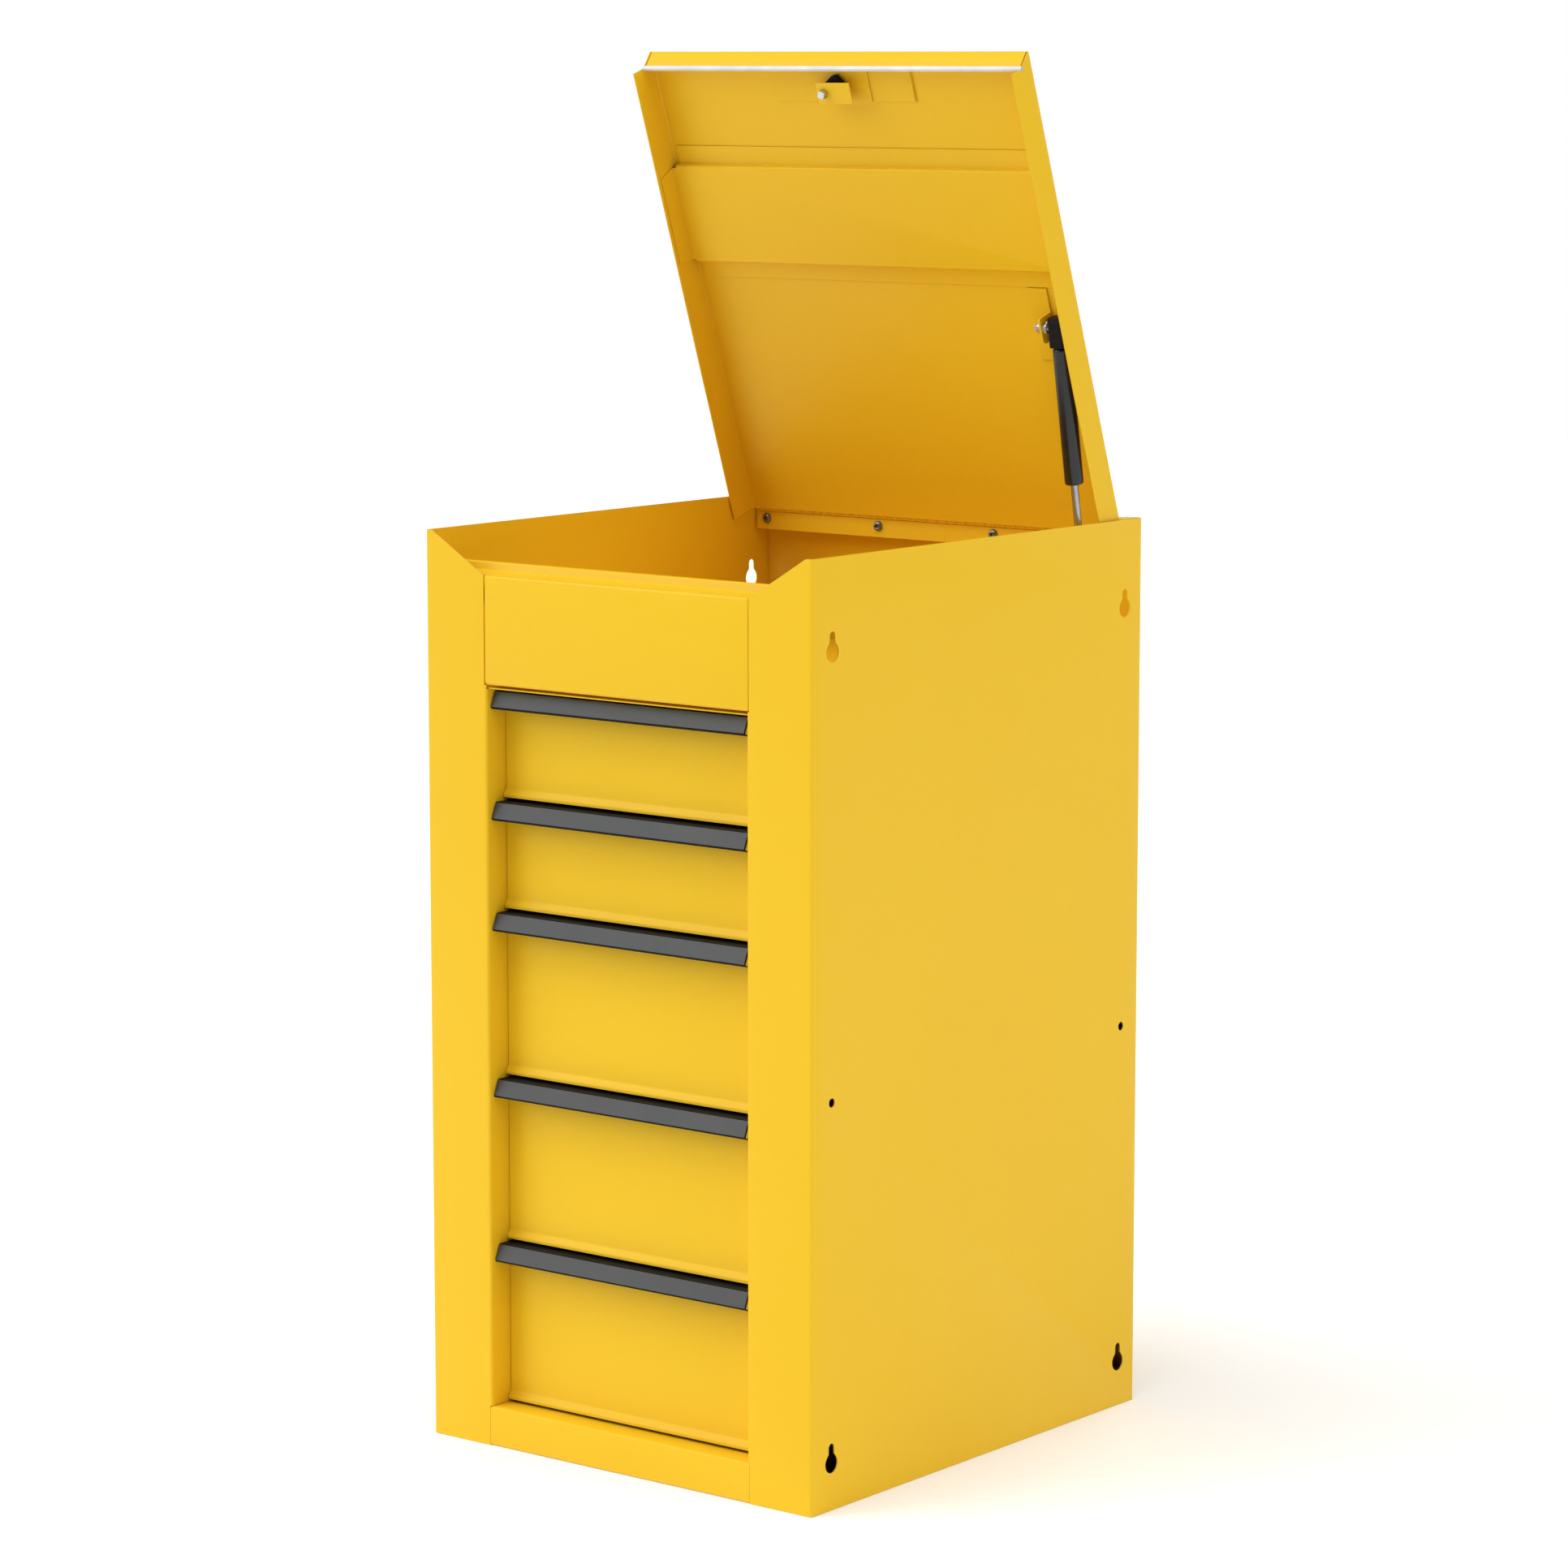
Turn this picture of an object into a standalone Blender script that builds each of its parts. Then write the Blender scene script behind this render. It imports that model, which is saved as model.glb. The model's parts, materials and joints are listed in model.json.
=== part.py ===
"""Side cabinet of a tool storage set: five drawers under a lidded top till, in folded sheet steel.

Metres, +Z up, +X to the right of someone facing the drawers, -Y towards them. The origin is the
middle of the footprint. The cabinet is drawn at rest with its lid open and its drawers shut.
Every folded sheet is one object, and moving groups hang from an empty that lies on their joint.
"""
import math

import bmesh
import bpy
from mathutils import Vector

# ---------------------------------------------------------------- driving dimensions
WIDTH = 0.482
DEPTH = 0.541
HEIGHT = 0.914
SHEET = 0.0012
GAP = 0.0003
CLEAR = 0.020
FOOT_INSET = 0.0048
BEND = 0.0026
BEND_STEPS = 3

FRONT = -DEPTH / 2
BACK = DEPTH / 2
HALF = WIDTH / 2
INNER_HALF = HALF - SHEET - GAP

# Front face: two stiles, the till panel between them at the top and the rail at the bottom
OPENING_HALF = 0.163
PANEL_HALF = 0.1656
STILE_RETURN = 0.030
RAIL_TOP = 0.040
RAIL_SHELF = 0.040
RAIL_LIP = 0.012
RAIL_FOOT = 0.015
REAR_FLANGE = 0.020
BACK_FOOT = 0.020
TILL_FLOOR_TOP = 0.7632
TILL_PANEL_BOTTOM = 0.766
TILL_PANEL_TOP = 0.8736
TILL_PANEL_FOOT = 0.022
TILL_PANEL_TURN = 0.0030
TILL_PANEL_CORNERS = (0.0012, 0.0035)
LEDGE_HALF = 0.2355
LEDGE_BEND = 0.0018
LEDGE_STEPS = (
    (0.0300, 0.8760),
    (0.0300, 0.8846),
    (0.0245, 0.8836),
    (0.0225, 0.8762),
    (0.0085, 0.8738),
    (0.0085, 0.8690),
    (0.0034, 0.8640),
    (0.0034, 0.8450),
)
MITRE_LOW = (0.1686, 0.8744)
MITRE_HIGH = (0.2336, HEIGHT)

# Holes in the side panels that hang the cabinet on its neighbour
KEYHOLE_Y = (FRONT + 0.031, FRONT + 0.5115)
KEYHOLE_Z = (0.0460, 0.8249)
KEYHOLE_BULB = 0.0096
KEYHOLE_NECK = 0.0043
KEYHOLE_NECK_RISE = 0.0154
KEYHOLE_WAIST = 0.62
KEYHOLE_SHOULDER = math.radians(38)
CUT_MARGIN = 0.004
PLAIN_HOLE_Z = 0.3968
PLAIN_HOLE_RADIUS = 0.0045

# Inner walls, slides and drawers
WALL_HALF = 0.1661
WALL_FLANGE = 0.019
SLIDE_SPACE = 0.0127
SLIDE_HEIGHT = 0.045
SLIDE_FRONT = FRONT + 0.040
SLIDE_LENGTH = 0.450
SLIDE_FLANGE = 0.0100
SLIDE_NEST = 0.0060
FACE_HALF = 0.1624
FACE_SETBACK = 0.028
FACE_HEM = 0.012
DRAWER_TOPS = (0.7590, 0.6485, 0.5380, 0.3710, 0.2040)
LIP_GAP = 0.0040
LAST_LIP_Z = 0.0430
LIP_HEIGHT = 0.0090
LIP_FLARE = 0.0042
LIP_EDGE = 0.0030
TRAY_LENGTH = 0.465
TRAY_SHEET = 0.0010
TRAY_FLOOR_RISE = 0.014
TRAY_TOP_DROP = 0.024
HANDLE_SHEET = 0.0013
HANDLE_BEND = 0.0018
HANDLE_RISE = 0.0006
HANDLE_END = 0.1560
HANDLE_STEPS = (
    (0.0480, -0.0060),
    (0.0480, HANDLE_RISE),
    (0.0120, HANDLE_RISE),
    (0.0050, -0.0165),
    (0.0100, -0.0180),
)
FACE_DROP = HANDLE_SHEET + GAP - HANDLE_RISE

# Lid, in the hinge's own frame: s runs along the lid to its front, h down into it when shut
HINGE_Y = FRONT + 0.515
HINGE_Z = 0.8986
LID_OPEN = math.radians(70.75)
LID_HALF = 0.2374
LID_LENGTH = 0.5116
LID_BEND = 0.0016
LID_REAR = 0.0028
LID_SKIN = 0.0021
LID_FLANGE = 0.0350
LIP_DROP = 0.0185
LIP_BACK = 0.0140
LIP_END_INSET = 0.0017
TRIM_NEAR = 0.0013
TRIM_FAR = 0.0025
TRIM_RISE = 0.0028
TRIM_END = 0.0016
TRIM_CORNER = 0.0008
STIFFENER_S = (0.390, 0.285)
STIFFENER_FLANGE = 0.019
STIFFENER_DEPTH = 0.0133
STIFFENER_BEND = 0.0020
STIFFENER_STOP = 0.0060
STIFFENER_TAB = 0.0330
STIFFENER_TAB_INSET = 0.0025
STRUT_HEAD = (0.2289, 0.0189)

# Latch: a pressed plate, a stepped tab, the square-headed bolt and the catch
LATCH_BOLT = (-0.0090, 0.4723)
LATCH_DEPTH = 0.0207
LATCH_PLATE_X = (-0.0850, 0.0905)
LATCH_PLATE_S = (0.4580, 0.4950)
LATCH_RIB_X = (0.0880, 0.0900)
LATCH_RIB_RISE = 0.0012
LATCH_BASE_X = (-0.0420, 0.0370)
LATCH_BASE_EDGE = 0.0008
LATCH_FOOT_END = -0.0290
LATCH_LEG_TOP = 0.4715
LATCH_TAB_X = (-0.0193, 0.0237)
LATCH_TAB_S = (0.4610, 0.4830)
LATCH_BOLT_RADIUS = 0.0031
LATCH_HEAD_HALF = 0.0037
LATCH_HEAD_RISE = 0.0064
LATCH_HEAD_TURN = math.radians(24)
CATCH_DEPTHS = (0.0085, 0.0130)
CATCH_TAIL = 0.0020
CATCH_HUB = 0.0085
CATCH_NOSE = (0.0090, 0.0095, 0.0060)
CATCH_HEEL = (0.0150, 0.0060, 0.0040)

# Piano hinge
KNUCKLE_RADIUS = 0.0018
KNUCKLE_LAP = math.radians(150)
PIN_RADIUS = 0.0007
KNUCKLE_BORE = 0.0010
KNUCKLE_COUNT = 75
HINGE_HALF = 0.2350
LEAF_NEAR = KNUCKLE_RADIUS
LEAF_FAR = -0.0009
LEAF_START = 0.0022
LEAF_DROP = 0.0211
SCREW_X = (-0.222, -0.074, 0.074, 0.222)
SCREW_DROP = 0.0096
SCREW_HEAD = 0.0053
SCREW_DOME = 0.0032
SCREW_CROWN = (0.55, 0.88)
SCREW_RIM = (0.88, 0.50)
SCREW_SOCKET = (0.36, 0.45)
SCREW_SHANK = 0.0022
SCREW_LENGTH = 0.0070

# Gas strut on the right
STRUT_X = 0.222
STRUT_FOOT = (FRONT + 0.4695, 0.830)
STRUT_LEAN = math.radians(9.74)
STRUT_SPAN = 0.2826
TUBE_RADIUS = 0.0095
TUBE_WALL = 0.0012
TUBE_NECK = 0.0068
ROD_RADIUS = 0.0039
TUBE_NEAR = 0.1248
PISTON_DEPTH = 0.0300
PISTON_LENGTH = 0.0050
SOCKET_HALF = 0.0100
SOCKET_CUT = 0.0035
SOCKET_LONG = 0.0182
SOCKET_SHORT = 0.0114

# Ends of the strut: an eared bracket on the lid and a plate on the side panel
EAR_NEAR = 0.0204
EAR_SHEET = 0.0020
EAR_FRONT = 0.0065
EAR_REACH = (0.0158, 0.0114)
EAR_CORNERS = (0.0055, 0.0030)
EAR_FOOT_X = 0.0210
EAR_FOOT_S = (0.0400, 0.0360)
EAR_FOOT_SHEET = 0.0015
STUD_RADIUS = 0.0038
STUD_TAIL = 0.0090
STUD_CLEAR = 0.0008
NUT_RADIUS = 0.0060
NUT_HEIGHT = 0.0050
COLLAR_RADIUS = 0.0066
COLLAR_LENGTH = 0.0046
PLATE_HALF = (0.0120, 0.0220)
PLATE_SHEET = 0.0020

# Colour, roughness, metallic
PAINT = ((0.89, 0.60, 0.045), 0.42, 0.0)
GREY = ((0.085, 0.085, 0.088), 0.48, 0.2)
ZINC = ((0.62, 0.63, 0.64), 0.32, 0.9)
STEEL = ((0.50, 0.51, 0.52), 0.30, 1.0)
BLACK = ((0.018, 0.018, 0.019), 0.45, 0.0)
TRIM = ((0.80, 0.80, 0.78), 0.35, 0.3)


# ---------------------------------------------------------------- scene helpers
def clear_scene():
    for old in list(bpy.data.objects):
        bpy.data.objects.remove(old, do_unlink=True)


def paint(obj, finish):
    """Gives the object a material of its own."""
    colour, roughness, metallic = finish
    material = bpy.data.materials.new(obj.name)
    material.use_nodes = True
    shader = material.node_tree.nodes["Principled BSDF"]
    shader.inputs["Base Color"].default_value = (*colour, 1.0)
    shader.inputs["Roughness"].default_value = roughness
    shader.inputs["Metallic"].default_value = metallic
    material.diffuse_color = (*colour, 1.0)
    obj.data.materials.clear()
    obj.data.materials.append(material)
    return obj


def add_empty(name, location, tilt=0.0):
    """An empty on a joint, tilted about X."""
    empty = bpy.data.objects.new(name, None)
    empty.location = location
    empty.rotation_euler = (tilt, 0.0, 0.0)
    bpy.context.scene.collection.objects.link(empty)
    return empty


def hang(parent, *objects):
    """Parents objects whose points are already in the parent's own frame."""
    for obj in objects:
        obj.parent = parent


def from_bmesh(name, mesh_data):
    bmesh.ops.recalc_face_normals(mesh_data, faces=mesh_data.faces)
    mesh = bpy.data.meshes.new(name)
    mesh_data.to_mesh(mesh)
    mesh_data.free()
    obj = bpy.data.objects.new(name, mesh)
    bpy.context.scene.collection.objects.link(obj)
    return obj


# ---------------------------------------------------------------- solids
def place(axis, first, second, along):
    """A 2-D outline point and a distance along the push axis, as a point in space."""
    if axis == "X":
        return Vector((along, first, second))
    if axis == "Y":
        return Vector((first, along, second))
    return Vector((first, second, along))


def prism(name, outline, axis, low, high):
    """The outline pushed along an axis. It lies in (y, z), (x, z) or (x, y) for X, Y or Z."""
    solid = bmesh.new()
    ends = []
    for along in (low, high):
        ends.append([solid.verts.new(place(axis, a, b, along)) for a, b in outline])
    solid.faces.new(ends[0])
    solid.faces.new(list(reversed(ends[1])))
    count = len(outline)
    for i in range(count):
        j = (i + 1) % count
        solid.faces.new((ends[0][i], ends[1][i], ends[1][j], ends[0][j]))
    return from_bmesh(name, solid)


def block(name, x, y, z):
    """A box between two values on each axis."""
    outline = [(x[0], y[0]), (x[1], y[0]), (x[1], y[1]), (x[0], y[1])]
    return prism(name, outline, "Z", z[0], z[1])


def circle(centre, radius, steps, start=0.0, sweep=2 * math.pi):
    """Points on an arc. A full turn leaves out its repeated last point."""
    full = abs(sweep - 2 * math.pi) < 1e-6
    count = steps if full else steps + 1
    points = []
    for i in range(count):
        angle = start + sweep * i / steps
        points.append((centre[0] + radius * math.cos(angle), centre[1] + radius * math.sin(angle)))
    return points


def rod(name, axis, centre, radius, low, high, steps=16):
    return prism(name, circle(centre, radius, steps), axis, low, high)


def combine(target, operation, others):
    """Adds or cuts other solids, then removes them."""
    for other in others:
        change = target.modifiers.new(operation.lower(), "BOOLEAN")
        change.operation = operation
        change.solver = "EXACT"
        change.object = other
    bpy.context.view_layer.update()
    seen = target.evaluated_get(bpy.context.evaluated_depsgraph_get())
    mesh = bpy.data.meshes.new_from_object(seen)
    target.modifiers.clear()
    target.data = mesh
    for other in others:
        bpy.data.objects.remove(other, do_unlink=True)
    return target


def cut(target, *others):
    return combine(target, "DIFFERENCE", others)


def weld(target, *others):
    return combine(target, "UNION", others)


# ---------------------------------------------------------------- folded sheet
def offset_path(path, distance):
    """The path moved sideways, to the left of its direction, with its corners kept sharp."""
    points = [Vector(p) for p in path]
    normals = []
    for a, b in zip(points, points[1:]):
        run = (b - a).normalized()
        normals.append(Vector((-run.y, run.x)))
    moved = [points[0] + normals[0] * distance]
    for i in range(1, len(points) - 1):
        middle = normals[i - 1] + normals[i]
        moved.append(points[i] + middle * (2 * distance / middle.length_squared))
    moved.append(points[-1] + normals[-1] * distance)
    return moved


def side_of_turn(a, b, c):
    first = b - a
    second = c - b
    return first.x * second.y - first.y * second.x


def round_corner(a, b, c, radius):
    """Points of the arc that replaces corner b."""
    back = (a - b).normalized()
    ahead = (c - b).normalized()
    half = math.acos(max(-1.0, min(1.0, back.dot(ahead)))) / 2
    reach = radius / math.tan(half)
    start = b + back * reach
    end = b + ahead * reach
    centre = b + (back + ahead).normalized() * (radius / math.sin(half))
    points = []
    for i in range(BEND_STEPS + 1):
        mix = start.lerp(end, i / BEND_STEPS)
        points.append(centre + (mix - centre).normalized() * radius)
    return points


def folded_outline(path, thickness=SHEET, bend=BEND):
    """Closed outline of a folded sheet: one face follows the path, the other lies to its left."""
    near = [Vector(p) for p in path]
    far = offset_path(path, thickness)
    tight = max(bend - thickness, thickness * 0.25)
    near_side = [near[0]]
    far_side = [far[0]]
    for i in range(1, len(near) - 1):
        left = side_of_turn(near[i - 1], near[i], near[i + 1]) > 0
        near_radius, far_radius = (bend, tight) if left else (tight, bend)
        near_side += round_corner(near[i - 1], near[i], near[i + 1], near_radius)
        far_side += round_corner(far[i - 1], far[i], far[i + 1], far_radius)
    near_side.append(near[-1])
    far_side.append(far[-1])
    return [tuple(p) for p in near_side + far_side[::-1]]


def folded(name, path, axis, low, high, thickness=SHEET, bend=BEND):
    return prism(name, folded_outline(path, thickness, bend), axis, low, high)


# ---------------------------------------------------------------- case
def keyhole_outline(y, z):
    """Round bulb below, narrower neck above, joined by straight shoulders."""
    shoulder = KEYHOLE_SHOULDER
    bulb = circle((y, z), KEYHOLE_BULB, 12, math.pi - shoulder, math.pi + 2 * shoulder)
    top = z + KEYHOLE_NECK_RISE
    neck = circle((y, top), KEYHOLE_NECK, 6, 0.0, math.pi)
    waist = z + KEYHOLE_NECK_RISE * KEYHOLE_WAIST
    return bulb + [(y + KEYHOLE_NECK, waist)] + neck + [(y - KEYHOLE_NECK, waist)]


def hole_cutters(side):
    """Keyholes near the four corners of a side and a plain hole half way up each edge."""
    low, high = sorted((side * (HALF - CUT_MARGIN), side * (HALF + CUT_MARGIN)))
    cutters = []
    for y in KEYHOLE_Y:
        for z in KEYHOLE_Z:
            cutters.append(prism("cut_keyhole", keyhole_outline(y, z), "X", low, high))
        hole = circle((y, PLAIN_HOLE_Z), PLAIN_HOLE_RADIUS, 16)
        cutters.append(prism("cut_hole", hole, "X", low, high))
    return cutters


def mirrored(outline, side):
    """The outline for the right side, or its mirror image for the left."""
    return [(side * a, b) for a, b in outline]


def span(side, inner, outer):
    """Low and high X between two distances from the middle, on one side."""
    return sorted((side * inner, side * outer))


def side_panel(name, side):
    """Wall, stile, stile return, rear flange and foot, folded from one sheet."""
    path = [
        (OPENING_HALF, FRONT + STILE_RETURN),
        (OPENING_HALF, FRONT),
        (HALF, FRONT),
        (HALF, BACK),
        (HALF - REAR_FLANGE, BACK),
    ]
    panel = prism(name, mirrored(folded_outline(path), side), "Z", 0.0, HEIGHT)
    inside = OPENING_HALF - CLEAR
    seam = PANEL_HALF + GAP
    mitre = [
        (inside, MITRE_LOW[1]),
        MITRE_LOW,
        MITRE_HIGH,
        (MITRE_HIGH[0], HEIGHT + CLEAR),
        (inside, HEIGHT + CLEAR),
    ]
    reach = (FRONT - CLEAR, FRONT + STILE_RETURN + CLEAR)
    across = span(side, inside, seam)
    return_top = TILL_FLOOR_TOP - SHEET - GAP
    panel = cut(
        panel,
        prism("cut_mitre", mirrored(mitre, side), "Y", FRONT - CLEAR, FRONT + CLEAR),
        block("cut_panel_seat", across, reach, (TILL_PANEL_BOTTOM - GAP, HEIGHT + CLEAR)),
        block("cut_rail_seat", across, reach, (-CLEAR, RAIL_TOP + GAP)),
        block("cut_return", across, (FRONT + SHEET, reach[1]), (return_top, TILL_PANEL_TOP)),
        *hole_cutters(side),
    )
    foot_x = span(side, HALF - REAR_FLANGE, HALF - SHEET / 2)
    foot = block("foot", foot_x, (FRONT + FOOT_INSET, BACK - FOOT_INSET), (0.0, SHEET))
    return paint(weld(panel, foot), PAINT)


def inner_wall(name, side):
    """Channel that carries one side's drawer slides."""
    low = 2 * SHEET + 2 * GAP
    high = TILL_FLOOR_TOP - SHEET - GAP
    edge = WALL_HALF + WALL_FLANGE
    path = [(edge, high), (WALL_HALF, high), (WALL_HALF, low), (edge, low)]
    outline = mirrored(folded_outline(path), side)
    rear = BACK - SHEET - 2 * GAP - BACK_FOOT
    return paint(prism(name, outline, "Y", FRONT + SHEET + 2 * GAP, rear), PAINT)


def hinge_screw_holes(radius):
    depth = (HINGE_Y - 2 * CUT_MARGIN, HINGE_Y + 2 * CUT_MARGIN)
    height = HINGE_Z - SCREW_DROP
    return [rod("cut_screw", "Y", (x, height), radius, *depth, steps=12) for x in SCREW_X]


def back_panel():
    """Back sheet with a foot, a top flange and the turned-down strip that holds the hinge."""
    outer = BACK - SHEET - GAP
    low = 2 * SHEET + 2 * GAP
    strip = HINGE_Y + LEAF_NEAR + GAP
    path = [
        (outer - BACK_FOOT, low),
        (outer, low),
        (outer, HEIGHT),
        (strip, HEIGHT),
        (strip, HINGE_Z - LEAF_DROP),
    ]
    half = INNER_HALF - BEND - GAP
    panel = folded("back_panel", path, "X", -half, half)
    return paint(cut(panel, *hinge_screw_holes(SCREW_SHANK + GAP)), PAINT)


def floor_tray(name, bottom, upstand):
    """A floor with both sides turned up, between the side panels."""
    path = [
        (-INNER_HALF, bottom + upstand),
        (-INNER_HALF, bottom),
        (INNER_HALF, bottom),
        (INNER_HALF, bottom + upstand),
    ]
    front = FRONT + BEND + 2 * GAP
    rear = BACK - 2 * SHEET - 2 * GAP
    return paint(folded(name, path, "Y", front, rear), PAINT)


def bottom_rail():
    """Face below the drawers, with a shelf behind its top edge and a foot."""
    path = [
        (FRONT + RAIL_SHELF, RAIL_TOP - RAIL_LIP),
        (FRONT + RAIL_SHELF, RAIL_TOP),
        (FRONT, RAIL_TOP),
        (FRONT, 0.0),
        (FRONT + RAIL_FOOT, 0.0),
    ]
    return paint(folded("bottom_rail", path, "X", -PANEL_HALF, PANEL_HALF), PAINT)


def rounded(corners, radii):
    """Closed outline with each corner replaced by an arc, or kept where its radius is nought."""
    points = [Vector(c) for c in corners]
    outline = []
    for i, radius in enumerate(radii):
        if radius:
            outline += round_corner(points[i - 1], points[i], points[(i + 1) % len(points)], radius)
        else:
            outline.append(points[i])
    return [tuple(p) for p in outline]


def pressed_pan(name, half, z, front, rear, corners):
    """Pan pressed from one sheet, with rounded front edges and its open side to the rear."""
    upper, lower = corners
    tight = BEND - SHEET
    turns = [math.pi / 2 * i / BEND_STEPS for i in range(BEND_STEPS + 1)]
    outer = [(BEND * (1 - math.sin(a)), front + BEND * (1 - math.cos(a))) for a in turns]
    inner = [
        (BEND - tight * math.sin(a), front + BEND - tight * math.cos(a)) for a in turns[::-1]
    ]
    solid = bmesh.new()
    rings = []
    for inset, y in outer + [(0.0, rear), (SHEET, rear)] + inner:
        across, low, high = half - inset, z[0] + inset, z[1] - inset
        outline = rounded(
            [(-across, low), (across, low), (across, high), (-across, high)],
            [max(radius - inset, GAP) for radius in (lower, lower, upper, upper)],
        )
        rings.append([solid.verts.new((a, y, b)) for a, b in outline])
    solid.faces.new(rings[0])
    solid.faces.new(rings[-1][::-1])
    count = len(rings[0])
    for near, far in zip(rings, rings[1:]):
        for i in range(count):
            j = (i + 1) % count
            solid.faces.new((near[i], near[j], far[j], far[i]))
    return from_bmesh(name, solid)


def till_front_panel():
    """Shallow pressed pan with a foot along its bottom edge."""
    z = (TILL_PANEL_BOTTOM, TILL_PANEL_TOP)
    rear = FRONT + TILL_PANEL_TURN
    pan = pressed_pan("till_front_panel", PANEL_HALF, z, FRONT, rear, TILL_PANEL_CORNERS)
    half = PANEL_HALF - TILL_PANEL_CORNERS[1]
    foot_y = (FRONT + BEND, FRONT + TILL_PANEL_FOOT)
    foot = block("foot", (-half, half), foot_y, (z[0], z[0] + SHEET))
    return paint(weld(pan, foot), PAINT)


def till_ledge():
    """Stepped strip behind the till panel that the lid's front lip closes onto."""
    path = [(FRONT + setback, z) for setback, z in LEDGE_STEPS]
    ledge = folded("till_ledge", path, "X", -LEDGE_HALF, LEDGE_HALF, TRAY_SHEET, LEDGE_BEND)
    return paint(ledge, PAINT)


# ---------------------------------------------------------------- drawers and slides
def drawer_bottom(index):
    """Height of the bottom edge of a drawer's face."""
    if index + 1 < len(DRAWER_TOPS):
        return DRAWER_TOPS[index + 1] + LIP_GAP
    return LAST_LIP_Z


def tray_heights(index):
    return drawer_bottom(index) + TRAY_FLOOR_RISE, DRAWER_TOPS[index] - TRAY_TOP_DROP


def slide_height(index):
    return sum(tray_heights(index)) / 2


def outer_slide(name, side, height):
    """C-shaped member on the inner wall."""
    web = WALL_HALF - GAP
    edge = web - SLIDE_FLANGE
    half = SLIDE_HEIGHT / 2
    low, high = height - half, height + half
    path = [(edge, low), (web, low), (web, high), (edge, high)]
    outline = mirrored(folded_outline(path), side)
    return paint(prism(name, outline, "Y", SLIDE_FRONT, SLIDE_FRONT + SLIDE_LENGTH), ZINC)


def inner_slide(name, side, height):
    """Narrower member on the drawer, running inside the outer one."""
    web = WALL_HALF - SLIDE_SPACE - GAP
    edge = web + SLIDE_FLANGE - SHEET
    half = SLIDE_HEIGHT / 2 - SLIDE_NEST
    low, high = height - half, height + half
    path = [(edge, high), (web, high), (web, low), (edge, low)]
    outline = mirrored(folded_outline(path), side)
    rail = prism(name, outline, "Y", SLIDE_FRONT, SLIDE_FRONT + SLIDE_LENGTH - SLIDE_NEST)
    return paint(rail, STEEL)


def drawer_box(name, index):
    """Tray with its face, which turns back at the top and flares out at the bottom."""
    top = DRAWER_TOPS[index] - FACE_DROP
    bottom = drawer_bottom(index)
    face_y = FRONT + FACE_SETBACK
    path = [
        (face_y + FACE_HEM, top),
        (face_y, top),
        (face_y, bottom + LIP_HEIGHT),
        (face_y - LIP_FLARE, bottom + LIP_EDGE),
        (face_y - LIP_FLARE, bottom),
    ]
    face = folded(name, path, "X", -FACE_HALF, FACE_HALF)
    half = WALL_HALF - SLIDE_SPACE - 2 * GAP
    low, high = tray_heights(index)
    front = face_y + SHEET / 2
    rear = front + TRAY_LENGTH
    sheet = TRAY_SHEET
    tray = block("tray", (-half, half), (front, rear), (low, high))
    room = block(
        "room",
        (-half + sheet, half - sheet),
        (front + SHEET, rear - sheet),
        (low + sheet, high + sheet),
    )
    return paint(weld(face, cut(tray, room)), PAINT)


def drawer_handle(name, top):
    """Pull that caps the face's top edge, then slopes out and down to a turned-in edge."""
    path = [(FRONT + setback, top + rise) for setback, rise in HANDLE_STEPS]
    handle = folded(name, path, "X", -FACE_HALF, HANDLE_END, HANDLE_SHEET, HANDLE_BEND)
    return paint(handle, BLACK)


def add_drawer(index):
    """One drawer on an empty, and the two slide members that stay in the case."""
    label = f"drawer_{index + 1}"
    height = slide_height(index)
    for word, side in (("left", -1), ("right", 1)):
        outer_slide(f"{label}_{word}_outer_slide", side, height)
    pieces = [
        drawer_box(f"{label}_box", index),
        drawer_handle(f"{label}_handle", DRAWER_TOPS[index]),
        inner_slide(f"{label}_left_inner_slide", -1, height),
        inner_slide(f"{label}_right_inner_slide", 1, height),
    ]
    centre = Vector((0.0, FRONT + FACE_SETBACK, height))
    carrier = add_empty(f"{label}_carrier", centre)
    for piece in pieces:
        for vertex in piece.data.vertices:
            vertex.co -= centre
    hang(carrier, *pieces)


# ---------------------------------------------------------------- hinge
def knuckle_outline():
    """Section of a leaf's edge curled round the pin, for a leaf that lies towards -Y."""
    root = KNUCKLE_RADIUS + LEAF_START
    start = math.pi + math.asin(LEAF_NEAR / KNUCKLE_RADIUS)
    end = 2 * math.pi + KNUCKLE_LAP
    inside = math.pi - math.asin(LEAF_FAR / KNUCKLE_BORE)
    outer = circle((0.0, 0.0), KNUCKLE_RADIUS, 8, start, end - start)
    inner = circle((0.0, 0.0), KNUCKLE_BORE, 6, end, inside - end)
    return [(-root, -LEAF_NEAR)] + outer + inner + [(-root, LEAF_FAR)]


def quarter_turn(points):
    """The section turned so that the leaf lies downwards."""
    return [(-b, a) for a, b in points]


def hinge_leaf(name, turn, first, width):
    """Plate with every other knuckle of the hinge, about an axis at the origin."""
    pitch = 2 * HINGE_HALF / KNUCKLE_COUNT
    plate = [(-width, -LEAF_NEAR), (-LEAF_START, -LEAF_NEAR), (-LEAF_START, LEAF_FAR), (-width, LEAF_FAR)]
    leaf = prism(name, turn(plate), "X", -HINGE_HALF, HINGE_HALF)
    section = turn(knuckle_outline())
    curls = []
    for i in range(first, KNUCKLE_COUNT, 2):
        low = -HINGE_HALF + i * pitch + GAP / 2
        high = -HINGE_HALF + (i + 1) * pitch - GAP / 2
        curls.append(prism("curl", section, "X", low, high))
    return weld(leaf, join_meshes(curls))


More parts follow.
